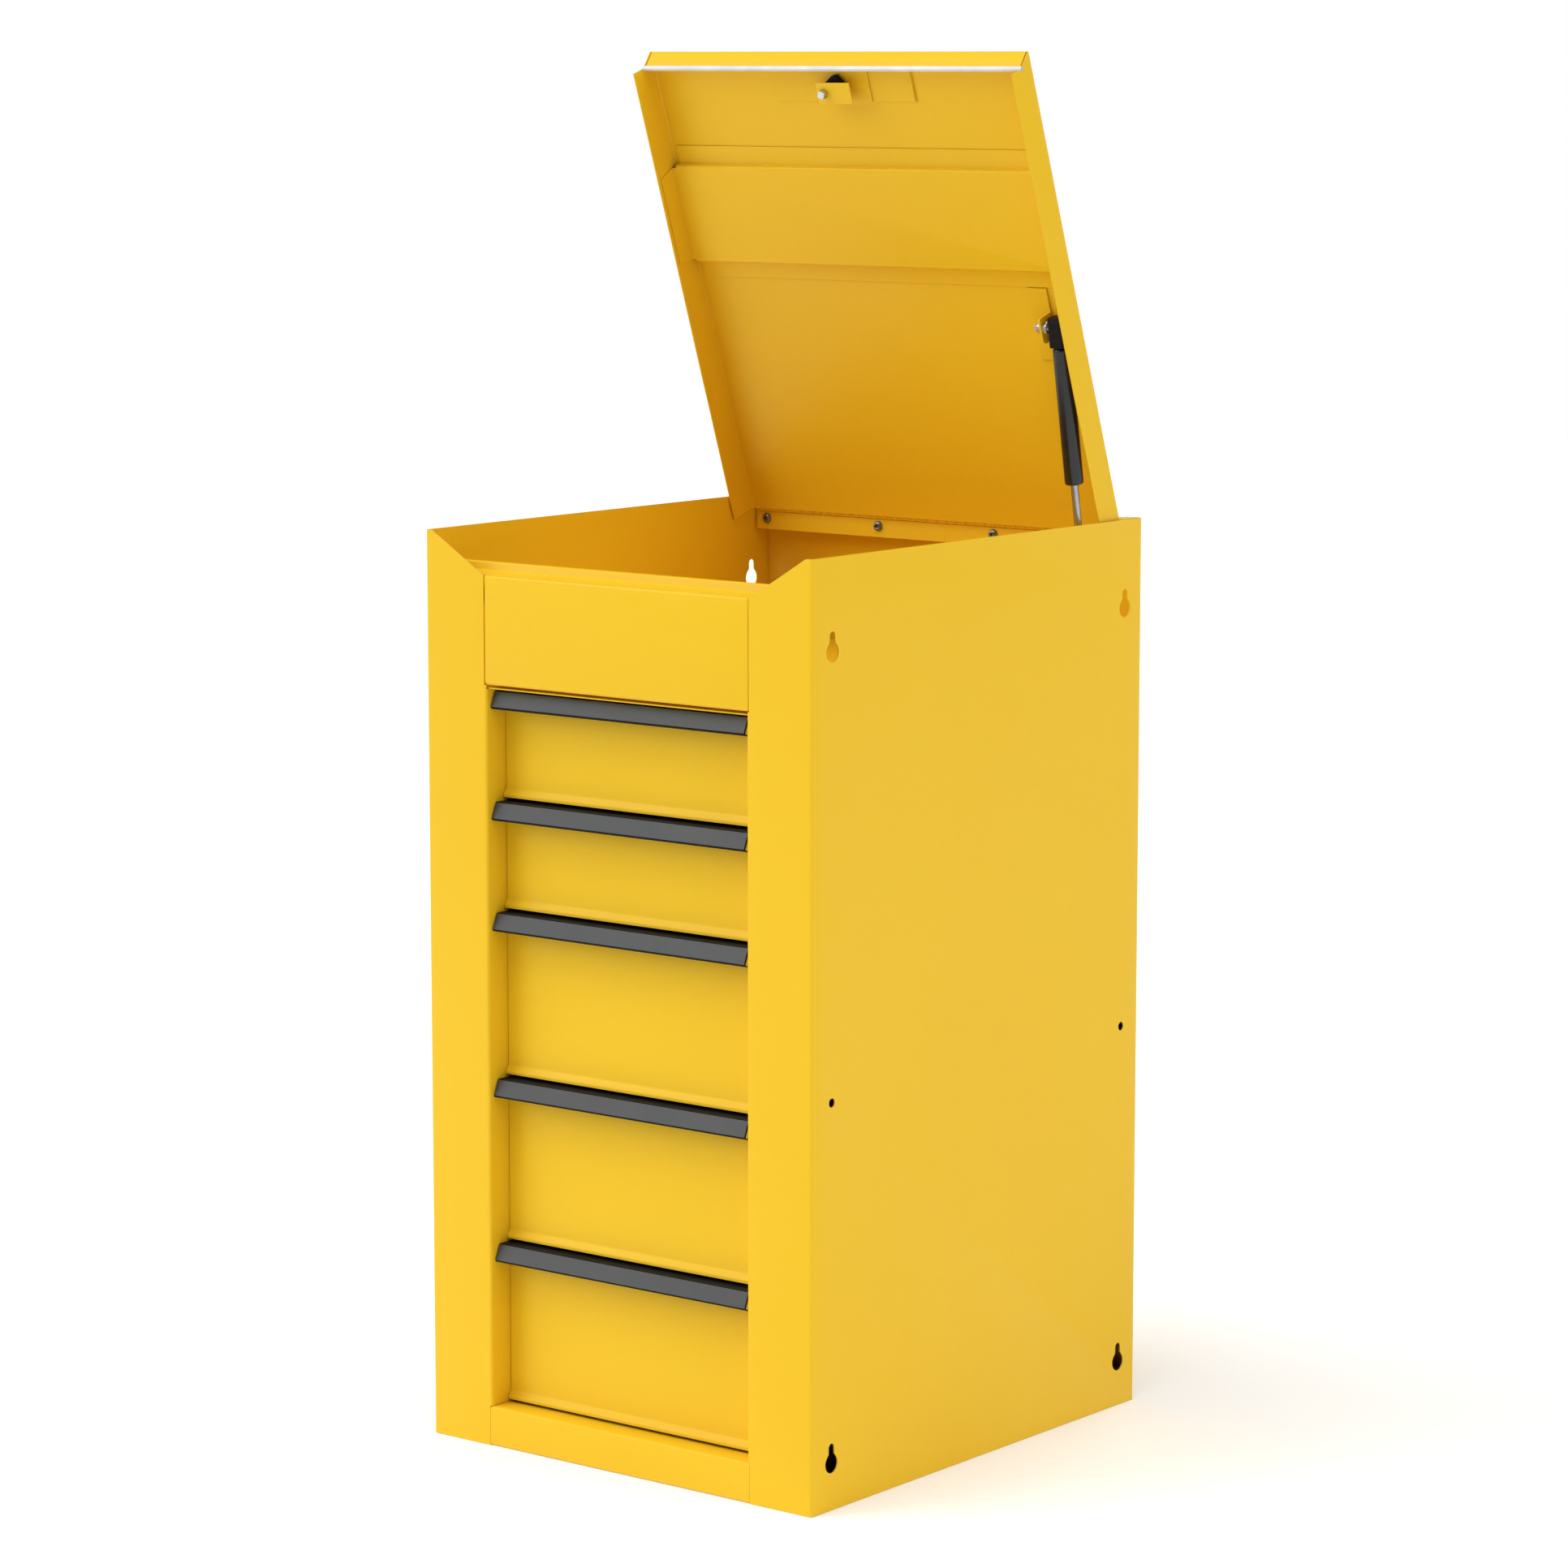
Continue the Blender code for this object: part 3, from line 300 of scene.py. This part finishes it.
def powder_coat():
    """Satin yellow powder coat: slow drift in colour, orange peel, and along edges a thinner film with a
    painted highlight.
    """
    g = Graph("yellow_powder_coat")
    drift = g.remap(g.noise(3.0, 2.0), 0.3, 0.7, 0.0, 1.0)
    base = g.mix(drift, YELLOW, YELLOW_DEEP)
    speck = g.remap(g.noise(900.0, 2.0), 0.62, 0.74, 0.0, 0.08)
    base = g.mix(speck, base, YELLOW_PALE_AND_HIGHLIGHT)
    # painted highlight: edges lightened towards the paler yellow, partly standing for a thinner film there
    edge = g.math("MULTIPLY", g.edge_mask(0.0007), 0.30)
    base = g.mix(edge, base, YELLOW_PALE_AND_HIGHLIGHT)
    roughness = g.remap(g.noise(40.0, 4.0), 0.3, 0.7, 0.33, 0.41)
    soft = g.rounded(0.0005)
    peel = g.bump(g.noise(330.0, 2.0), 0.00006, 0.30, soft)
    return g.finish(base, roughness, peel, Specular_IOR_Level=0.18)


def satin_grey():
    """Satin grey coating of the pulls, with a fine grain and a painted highlight along its edges."""
    g = Graph("satin_grey_coating")
    drift = g.remap(g.noise(18.0, 3.0), 0.35, 0.65, 0.0, 1.0)
    base = g.mix(drift, GREY, GREY_DARK)
    # painted highlight: edges lightened towards a pale grey
    edge = g.math("MULTIPLY", g.edge_mask(0.0008), 0.45)
    base = g.mix(edge, base, GREY_EDGE_HIGHLIGHT)
    roughness = g.remap(g.noise(1100.0, 3.0), 0.3, 0.7, 0.42, 0.56)
    grain = g.bump(g.noise(1500.0, 2.0), 0.00003, 0.4, g.rounded(0.0006))
    return g.finish(base, roughness, grain)


def plated(name, colour, dull, low, high, scale, stretch=None):
    """Plated or drawn metal with cloudy variation and fine scratches along its length."""
    g = Graph(name)
    cloud = g.remap(g.noise(scale, 4.0, 0.6), 0.35, 0.68, 0.0, 1.0)
    base = g.mix(cloud, colour, dull)
    roughness = g.remap(g.noise(scale * 4, 3.0, 0.6, stretch), 0.3, 0.7, low, high)
    fine = g.bump(g.noise(900.0, 2.0, 0.5, stretch), 0.00002, 0.35, g.rounded(0.0004))
    return g.finish(base, roughness, fine, 1.0)


def moulded_black():
    """Matt moulded plastic with a spark-eroded grain and a faint painted highlight along edges."""
    g = Graph("moulded_black_plastic")
    drift = g.remap(g.noise(160.0, 3.0), 0.35, 0.65, 0.0, 1.0)
    base = g.mix(drift, PLASTIC, PLASTIC_LIGHT)
    # painted highlight: edges lightened towards a dark grey
    edge = g.math("MULTIPLY", g.edge_mask(0.0005), 0.2)
    base = g.mix(edge, base, PLASTIC_EDGE_HIGHLIGHT)
    roughness = g.remap(g.noise(600.0, 3.0), 0.3, 0.7, 0.56, 0.70)
    grain = g.bump(g.noise(2200.0, 2.0), 0.00003, 0.5, g.rounded(0.0005))
    return g.finish(base, roughness, grain, Specular_IOR_Level=0.12)


def gloss_black():
    """Smooth black enamel of the gas spring's tube."""
    g = Graph("gloss_black_enamel")
    drift = g.remap(g.noise(60.0, 2.0), 0.35, 0.65, 0.0, 1.0)
    base = g.mix(drift, ENAMEL, ENAMEL_LIGHT)
    roughness = g.remap(g.noise(220.0, 3.0), 0.3, 0.7, 0.20, 0.28)
    peel = g.bump(g.noise(700.0, 2.0), 0.00003, 0.25)
    return g.finish(base, roughness, peel)


def pale_edging():
    """Pale extruded edging with faint draw lines along its length."""
    g = Graph("pale_edging")
    drift = g.remap(g.noise(25.0, 3.0), 0.35, 0.65, 0.0, 1.0)
    base = g.mix(drift, PALE, PALE_DULL)
    lines = g.noise(160.0, 3.0, 0.6, (0.02, 1.0, 1.0))
    roughness = g.remap(lines, 0.3, 0.7, 0.30, 0.45)
    draw = g.bump(lines, 0.00004, 0.4, g.rounded(0.0004))
    return g.finish(base, roughness, draw)


def floor_finish():
    """Matt pale sweep with a faint glow, so that it fades into the white surround."""
    g = Graph("studio_floor")
    drift = g.remap(g.noise(1.2, 2.0), 0.35, 0.65, 0.0, 1.0)
    base = g.mix(drift, FLOOR, FLOOR_DULL)
    roughness = g.remap(g.noise(30.0, 3.0), 0.3, 0.7, 0.85, 0.95)
    texture = g.bump(g.noise(300.0, 2.0), 0.0001, 0.1)
    glow = {"Emission_Color": WHITE, "Emission_Strength": FLOOR_GLOW}
    return g.finish(base, roughness, texture, **glow)


YELLOW_COAT = powder_coat()
GREY_COAT = satin_grey()
ZINC_PLATE = plated("zinc_plate", ZINC, ZINC_DULL, 0.24, 0.42, 90.0)
SLIDE_STEEL = plated("slide_steel", STEEL, STEEL_DULL, 0.28, 0.46, 60.0, (1.0, 0.05, 1.0))
BRIGHT_STEEL = plated("bright_steel", ROD_STEEL, ROD_STEEL_DULL, 0.24, 0.38, 80.0, (1.0, 1.0, 0.05))
SCREW_ZINC = plated("dark_zinc", DARK_ZINC, DARK_ZINC_DULL, 0.24, 0.38, 120.0)
BLACK_PLASTIC = moulded_black()
BLACK_ENAMEL = gloss_black()
PALE_TRIM = pale_edging()

SLOT_FINISH = {
    "yellow_paint": YELLOW_COAT,
    "grey_pull": GREY_COAT,
    "zinc": ZINC_PLATE,
    "steel": SLIDE_STEEL,
    "black_plastic": BLACK_PLASTIC,
    "black_enamel": BLACK_ENAMEL,
    "pale_trim": PALE_TRIM,
}


# ---------------------------------------------------------------- carried-over CAD nodes
def smoothing_group():
    """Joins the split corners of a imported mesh, then shades it smooth except across sharp edges."""
    group = bpy.data.node_groups.new("smooth_by_angle", "GeometryNodeTree")
    group.interface.new_socket("Geometry", in_out="INPUT", socket_type="NodeSocketGeometry")
    group.interface.new_socket("Geometry", in_out="OUTPUT", socket_type="NodeSocketGeometry")
    add, link = group.nodes.new, group.links.new
    source, target = add("NodeGroupInput"), add("NodeGroupOutput")
    merge = add("GeometryNodeMergeByDistance")
    merge.inputs["Distance"].default_value = MERGE_DISTANCE
    drop = add("GeometryNodeRemoveAttribute")
    drop.inputs["Name"].default_value = "custom_normal"
    smooth = add("GeometryNodeSetShadeSmooth")
    sharp = add("GeometryNodeSetShadeSmooth")
    sharp.domain = "EDGE"
    sharp.inputs["Shade Smooth"].default_value = False
    angle = add("GeometryNodeInputMeshEdgeAngle")
    compare = add("FunctionNodeCompare")
    compare.operation = "GREATER_THAN"
    compare.inputs["B"].default_value = SMOOTH_ANGLE
    link(source.outputs[0], merge.inputs["Geometry"])
    link(merge.outputs[0], drop.inputs["Geometry"])
    link(drop.outputs[0], smooth.inputs["Geometry"])
    link(smooth.outputs[0], sharp.inputs["Geometry"])
    link(angle.outputs["Unsigned Angle"], compare.inputs["A"])
    link(compare.outputs[0], sharp.inputs["Selection"])
    link(sharp.outputs[0], target.inputs[0])
    return group


def dress_nodes():
    group = smoothing_group()
    for node in NODES.values():
        slot = node.material_slots[0].material.name.split(".")[0]
        node.data.materials.clear()
        node.data.materials.append(SLOT_FINISH[slot])
        shade = node.modifiers.new("smooth", "NODES")
        shade.node_group = group


# ---------------------------------------------------------------- piece helpers
def piece(name, mesh_data, material, body, nodes=(), matrix=None):
    """A finished piece that rides on a body, with smooth shading except across sharp edges."""
    bmesh.ops.remove_doubles(mesh_data, verts=mesh_data.verts, dist=WELD_DISTANCE)
    bmesh.ops.recalc_face_normals(mesh_data, faces=mesh_data.faces)
    mesh = bpy.data.meshes.new(name)
    mesh_data.to_mesh(mesh)
    mesh_data.free()
    if matrix is not None:
        mesh.transform(matrix)
    mesh.polygons.foreach_set("use_smooth", [True] * len(mesh.polygons))
    mesh.set_sharp_from_angle(angle=SMOOTH_ANGLE)
    mesh.materials.append(material)
    obj = bpy.data.objects.new(name, mesh)
    bpy.context.scene.collection.objects.link(obj)
    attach(obj, body)
    if nodes:
        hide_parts(*nodes)


def ring_points(radius, steps, flats=None):
    """Points round Z in (x, y). With flats set, they are cut to a hexagon of that width across."""
    points = []
    for i in range(steps):
        turn = 2 * math.pi * i / steps
        reach = radius
        if flats:
            off = (turn + math.pi / 6) % (math.pi / 3) - math.pi / 6
            reach = min(radius, flats / 2 / math.cos(off))
        points.append((reach * math.cos(turn), reach * math.sin(turn)))
    return points


def ring_solid(stations, steps=48, closed=False):
    """Solid through rings along Z, each given as (height, radius) or (height, radius, flats).

    A ring of no radius is a point. With closed set, the last ring is joined to the first as well.
    """
    solid = bmesh.new()
    rings = []
    for height, radius, *flats in stations:
        if radius < NO_RADIUS:
            rings.append([solid.verts.new((0.0, 0.0, height))] * steps)
            continue
        points = ring_points(radius, steps, *flats)
        rings.append([solid.verts.new((a, b, height)) for a, b in points])
    pairs = list(zip(rings, rings[1:]))
    if closed:
        pairs.append((rings[-1], rings[0]))
    for low, high in pairs:
        for i in range(steps):
            j = (i + 1) % steps
            corners = list(dict.fromkeys((low[i], low[j], high[j], high[i])))
            if len(corners) > 2:
                solid.faces.new(corners)
    return solid


def extruded(outline, low, high, chamfer):
    """Outline in (x, y) pushed along Z, with its edges rounded over."""
    solid = bmesh.new()
    bottom = [solid.verts.new((a, b, low)) for a, b in outline]
    top = [solid.verts.new((a, b, high)) for a, b in outline]
    solid.faces.new(bottom[::-1])
    solid.faces.new(top)
    count = len(outline)
    for i in range(count):
        j = (i + 1) % count
        solid.faces.new((bottom[i], bottom[j], top[j], top[i]))
    sharp = [e for e in solid.edges if e.calc_face_angle(0.0) > SMOOTH_ANGLE]
    bmesh.ops.bevel(solid, geom=sharp, offset=chamfer, segments=3, profile=0.5, affect="EDGES")
    return solid


def disc(centre, radius, steps):
    """Points of a whole circle in the plane."""
    points = []
    for i in range(steps):
        turn = 2 * math.pi * i / steps
        points.append((centre[0] + radius * math.cos(turn), centre[1] + radius * math.sin(turn)))
    return points


def hull(points):
    """Convex outline of points in a plane."""
    ordered = sorted(set(points))
    halves = []
    for sequence in (ordered, ordered[::-1]):
        chain = []
        for p in sequence:
            while len(chain) > 1:
                a, b = chain[-2], chain[-1]
                if (b[0] - a[0]) * (p[1] - b[1]) - (b[1] - a[1]) * (p[0] - b[0]) > 0:
                    break
                chain.pop()
            chain.append(p)
        halves.append(chain[:-1])
    return halves[0] + halves[1]


# ---------------------------------------------------------------- pieces
def add_pull_plates():
    """Satin grey plate on the sloped face of each black pull."""
    # the outline's (x, y) become the model's (y, z), and its depth becomes x
    along = Matrix(((0, 0, 1, 0), (1, 0, 0, 0), (0, 1, 0, 0), (0, 0, 0, 1)))
    for number in range(1, 6):
        body = f"drawer_{number}"
        low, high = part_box(f"drawer_{number}_handle")
        top = Vector((high.y - PULL_FACE_TOP[0], high.z - PULL_FACE_TOP[1]))
        foot = Vector((high.y - PULL_FACE_FOOT[0], high.z - PULL_FACE_FOOT[1]))
        down = (foot - top).normalized()
        out = Vector((down.y, -down.x))
        first, last = PULL_PLATE_SPAN
        corners = [top + down * first, top + down * last]
        outline = [tuple(c - out * PULL_PLATE_SEAT) for c in corners]
        outline += [tuple(c + out * PULL_PLATE_THICK) for c in corners[::-1]]
        left, right = low.x + PULL_PLATE_INSET, high.x - PULL_PLATE_INSET
        plate = extruded(outline, left, right, PULL_PLATE_CHAMFER)
        piece(f"{body}_pull_plate", plate, GREY_COAT, body, matrix=along)


def screw_dome(head):
    """Stations of a button head, from its rim up to the edge of its recess."""
    stations = [(0.0, head), (SCREW_RIM, head + SCREW_RIM_BULGE)]
    for i in range(1, SCREW_DOME_STEPS + 1):
        turn = SCREW_DOME_TURN * i / SCREW_DOME_STEPS
        rise = SCREW_DOME_RISE * math.sin(turn) / math.sin(SCREW_DOME_TURN)
        draw = SCREW_DOME_DRAW * (1 - math.cos(turn)) / (1 - math.cos(SCREW_DOME_TURN))
        stations.append((SCREW_RIM + rise, head * (1 - draw)))
    return stations


def add_hinge_screws():
    """Button-head socket screws in the hinge strip."""
    for number in range(1, 5):
        node = f"hinge_screw_{number}"
        low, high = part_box(node)
        head = (high.z - low.z) / 2
        neck = (SCREW_SHANK[-1][0], head * SCREW_UNDERCUT)
        solid = ring_solid([*SCREW_SHANK, neck, *screw_dome(head), *SCREW_RECESS])
        centre = Vector(((low.x + high.x) / 2, low.y + SCREW_RISE, (low.z + high.z) / 2))
        matrix = Matrix.Translation(centre) @ Matrix.Rotation(math.pi / 2, 4, "X")
        piece(f"hinge_button_screw_{number}", solid, SCREW_ZINC, "case", (node,), matrix)


def socket_outline():
    edge = SOCKET_HALF - SOCKET_CUT
    outline = [(SOCKET_HALF, -edge), (SOCKET_HALF, edge), (edge, SOCKET_HALF), (-edge, SOCKET_HALF)]
    return outline + [(-a, -b) for a, b in outline]


def tube_stations():
    """Stations of the spring's tube, from the seal at the rod to the neck at its closed end."""
    top = STRUT_SPAN - SOCKET_LONG
    bore = ROD_RADIUS + ROD_CLEARANCE
    stations = [(TUBE_NEAR + SEAL_DEPTH, bore), (TUBE_NEAR, bore)]
    for i in range(TUBE_ROUND_STEPS + 1):
        turn = math.pi / 2 * i / TUBE_ROUND_STEPS
        radius = TUBE_RADIUS - TUBE_NOSE * (1 - math.sin(turn))
        stations.append((TUBE_NEAR + TUBE_NOSE * (1 - math.cos(turn)), radius))
    for i in range(TUBE_ROUND_STEPS + 1):
        turn = math.pi / 2 * i / TUBE_ROUND_STEPS
        radius = TUBE_RADIUS - TUBE_TAIL * (1 - math.cos(turn))
        stations.append((top - TUBE_NECK_LENGTH + TUBE_TAIL * math.sin(turn), radius))
    end = top + TUBE_BURIED
    return stations + [(end, TUBE_RADIUS - TUBE_NECK_STEP), (end, 0.0), (TUBE_NEAR + SEAL_DEPTH, 0.0)]


def strut_piece(name, solid, material, body, node):
    piece(name, solid, material, body, (node,), STRUT_MATRIX)


def add_strut():
    """Gas spring: enamelled tube and bright rod, each in a moulded end socket."""
    tube = ring_solid(tube_stations(), 64, closed=True)
    strut_piece("gas_spring_tube", tube, BLACK_ENAMEL, "strut_upper", "strut_cylinder")
    near, far = STRUT_SPAN - SOCKET_LONG, STRUT_SPAN + SOCKET_SHORT
    upper = extruded(socket_outline(), near, far, SOCKET_CHAMFER)
    strut_piece(
        "gas_spring_upper_socket", upper, BLACK_PLASTIC, "strut_upper", "strut_cylinder"
    )
    low, high = SOCKET_LONG - ROD_BURIED, TUBE_NEAR + ROD_INSIDE
    shaft = ring_solid([(low, 0.0), (low, ROD_RADIUS), (high, ROD_RADIUS), (high, 0.0)], 40)
    strut_piece("gas_spring_rod", shaft, BRIGHT_STEEL, "strut_lower", "strut_rod")
    lower = extruded(socket_outline(), -SOCKET_SHORT, SOCKET_LONG, SOCKET_CHAMFER)
    strut_piece("gas_spring_lower_socket", lower, BLACK_PLASTIC, "strut_lower", "strut_rod")


def stud_stations(tip, ear, end):
    """Stations of the stud: its rounded tip, its thread, the nut, and the collar against the bracket."""
    lead, blunt, full = STUD_TIP
    root, crest = THREAD_RADII
    nut_far, nut_near = ear - NUT_FAR, ear - NUT_NEAR
    stations = [(tip, 0.0), (tip, blunt), (tip + lead, full)]
    height = tip + lead
    while height + THREAD_PITCH < nut_near:
        stations += [(height + THREAD_PITCH / 2, root), (height + THREAD_PITCH, crest)]
        height += THREAD_PITCH
    inner, outer = NUT_RADII
    stations += [
        (nut_near, crest),
        (nut_near, inner, NUT_FLATS),
        (nut_near + NUT_CHAMFER, outer, NUT_FLATS),
        (nut_far - NUT_CHAMFER, outer, NUT_FLATS),
        (nut_far, inner, NUT_FLATS),
        (nut_far, crest),
        (ear + COLLAR_HEIGHTS[0], crest),
    ]
    for rise, radius in zip(COLLAR_HEIGHTS, COLLAR_RADII):
        stations.append((ear + rise, radius, COLLAR_FLATS))
    return stations + [(ear + COLLAR_HEIGHTS[-1], STUD_SHANK), (end, STUD_SHANK), (end, 0.0)]


def add_stud():
    """Threaded stud of the strut's upper end, with its nut and hexagon collar."""
    low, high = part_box("strut_upper_stud")
    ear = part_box("strut_upper_bracket")[1].x
    s, h = STUD_PLACE
    local = Matrix.Translation((0.0, -s, -h)) @ Matrix.Rotation(math.pi / 2, 4, "Y")
    solid = ring_solid(stud_stations(low.x, ear, high.x))
    matrix = LID_MATRIX @ local
    piece("strut_threaded_stud", solid, ZINC_PLATE, "lid", ("strut_upper_stud",), matrix)


def add_latch():
    """Square-headed bolt and the moulded catch that turns on it."""
    x, y = BOLT_PLACE
    half = BOLT_HEAD_HALF
    square = [(half, -half), (half, half), (-half, half), (-half, -half)]
    head = extruded(square, *BOLT_HEAD_DEPTHS, BOLT_HEAD_CHAMFER)
    turn = Matrix.Translation((x, y, 0.0)) @ Matrix.Rotation(BOLT_HEAD_TURN, 4, "Z")
    piece("latch_square_head", head, ZINC_PLATE, "lid", ("latch_bolt",), LID_MATRIX @ turn)
    start = BOLT_HEAD_DEPTHS[1] + BOLT_SHANK_GAP
    shank = extruded(disc((x, y), BOLT_SHANK, 32), start, BOLT_SHANK_END, BOLT_SHANK_CHAMFER)
    piece("latch_bolt_shank", shank, ZINC_PLATE, "lid", ("latch_bolt",), LID_MATRIX)
    points = []
    for across, along, radius in CATCH_LOBES:
        points += disc((x + across, y + along), radius, 40)
    catch = extruded(hull(points), *CATCH_DEPTHS, CATCH_CHAMFER)
    piece("latch_swing_catch", catch, BLACK_PLASTIC, "catch", ("latch_catch",), LID_MATRIX)


def add_bearing_balls():
    """Two rows of bearing balls at the front of each outer slide."""
    for number in range(1, 6):
        for word, side in (("left", -1), ("right", 1)):
            low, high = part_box(f"drawer_{number}_{word}_outer_slide")
            web = max(abs(low.x), abs(high.x))
            x = side * (web - BALL_IN)
            solid = bmesh.new()
            for z in (low.z + BALL_DROP, high.z - BALL_DROP):
                for i in range(BALL_COUNT):
                    spot = Matrix.Translation((x, low.y + BALL_START + i * BALL_PITCH, z))
                    bmesh.ops.create_icosphere(solid, subdivisions=2, radius=BALL_RADIUS, matrix=spot)
            piece(f"drawer_{number}_{word}_bearing_balls", solid, BRIGHT_STEEL, "case")


# ---------------------------------------------------------------- studio
def add_camera():
    data = bpy.data.cameras.new("camera")
    data.lens = CAMERA_LENS
    data.sensor_width = CAMERA_SENSOR
    data.clip_end = CAMERA_REACH
    camera = bpy.data.objects.new("camera", data)
    camera.location = CAMERA_PLACE
    camera.rotation_euler = (math.pi / 2 - CAMERA_ELEVATION, 0.0, CAMERA_AZIMUTH)
    bpy.context.scene.collection.objects.link(camera)
    bpy.context.scene.camera = camera


def add_floor():
    mesh = bpy.data.meshes.new("floor")
    half = FLOOR_HALF
    corners = [(-half, -half, 0.0), (half, -half, 0.0), (half, half, 0.0), (-half, half, 0.0)]
    mesh.from_pydata(corners, [], [(0, 1, 2, 3)])
    mesh.materials.append(floor_finish())
    floor = bpy.data.objects.new("floor", mesh)
    floor.location.z = -FLOOR_DROP
    bpy.context.scene.collection.objects.link(floor)


def add_sun(name, azimuth, elevation, strength):
    """Broad soft light from a direction: azimuth from the front towards +X, elevation from the floor."""
    data = bpy.data.lights.new(name, "SUN")
    data.energy = strength
    data.angle = SOFTBOX_SPREAD
    light = bpy.data.objects.new(name, data)
    turn, rise = math.radians(azimuth), math.radians(elevation)
    level = math.cos(rise)
    towards = Vector((math.sin(turn) * level, -math.cos(turn) * level, math.sin(rise)))
    light.location = towards * SOFTBOX_DISTANCE
    light.rotation_euler = (-towards).to_track_quat("-Z", "Y").to_euler()
    bpy.context.scene.collection.objects.link(light)


def add_studio():
    """Softboxes, and a surround that the camera sees as white but that lights the object very little."""
    scene = bpy.context.scene
    scene.view_settings.view_transform = "Standard"
    world = bpy.data.worlds.new("studio")
    world.use_nodes = True
    tree = world.node_tree
    fill = tree.nodes["Background"]
    fill.inputs["Color"].default_value = WHITE
    fill.inputs["Strength"].default_value = SURROUND_FILL
    seen = tree.nodes.new("ShaderNodeBackground")
    seen.inputs["Color"].default_value = WHITE
    path = tree.nodes.new("ShaderNodeLightPath")
    mix = tree.nodes.new("ShaderNodeMixShader")
    tree.links.new(path.outputs["Is Camera Ray"], mix.inputs["Fac"])
    tree.links.new(fill.outputs["Background"], mix.inputs[1])
    tree.links.new(seen.outputs["Background"], mix.inputs[2])
    tree.links.new(mix.outputs["Shader"], tree.nodes["World Output"].inputs["Surface"])
    scene.world = world
    for name, azimuth, elevation, strength in SOFTBOXES:
        add_sun(name, azimuth, elevation, strength)


dress_nodes()
add_pull_plates()
add_hinge_screws()
add_strut()
add_stud()
add_latch()
add_bearing_balls()
add_camera()
add_floor()
add_studio()
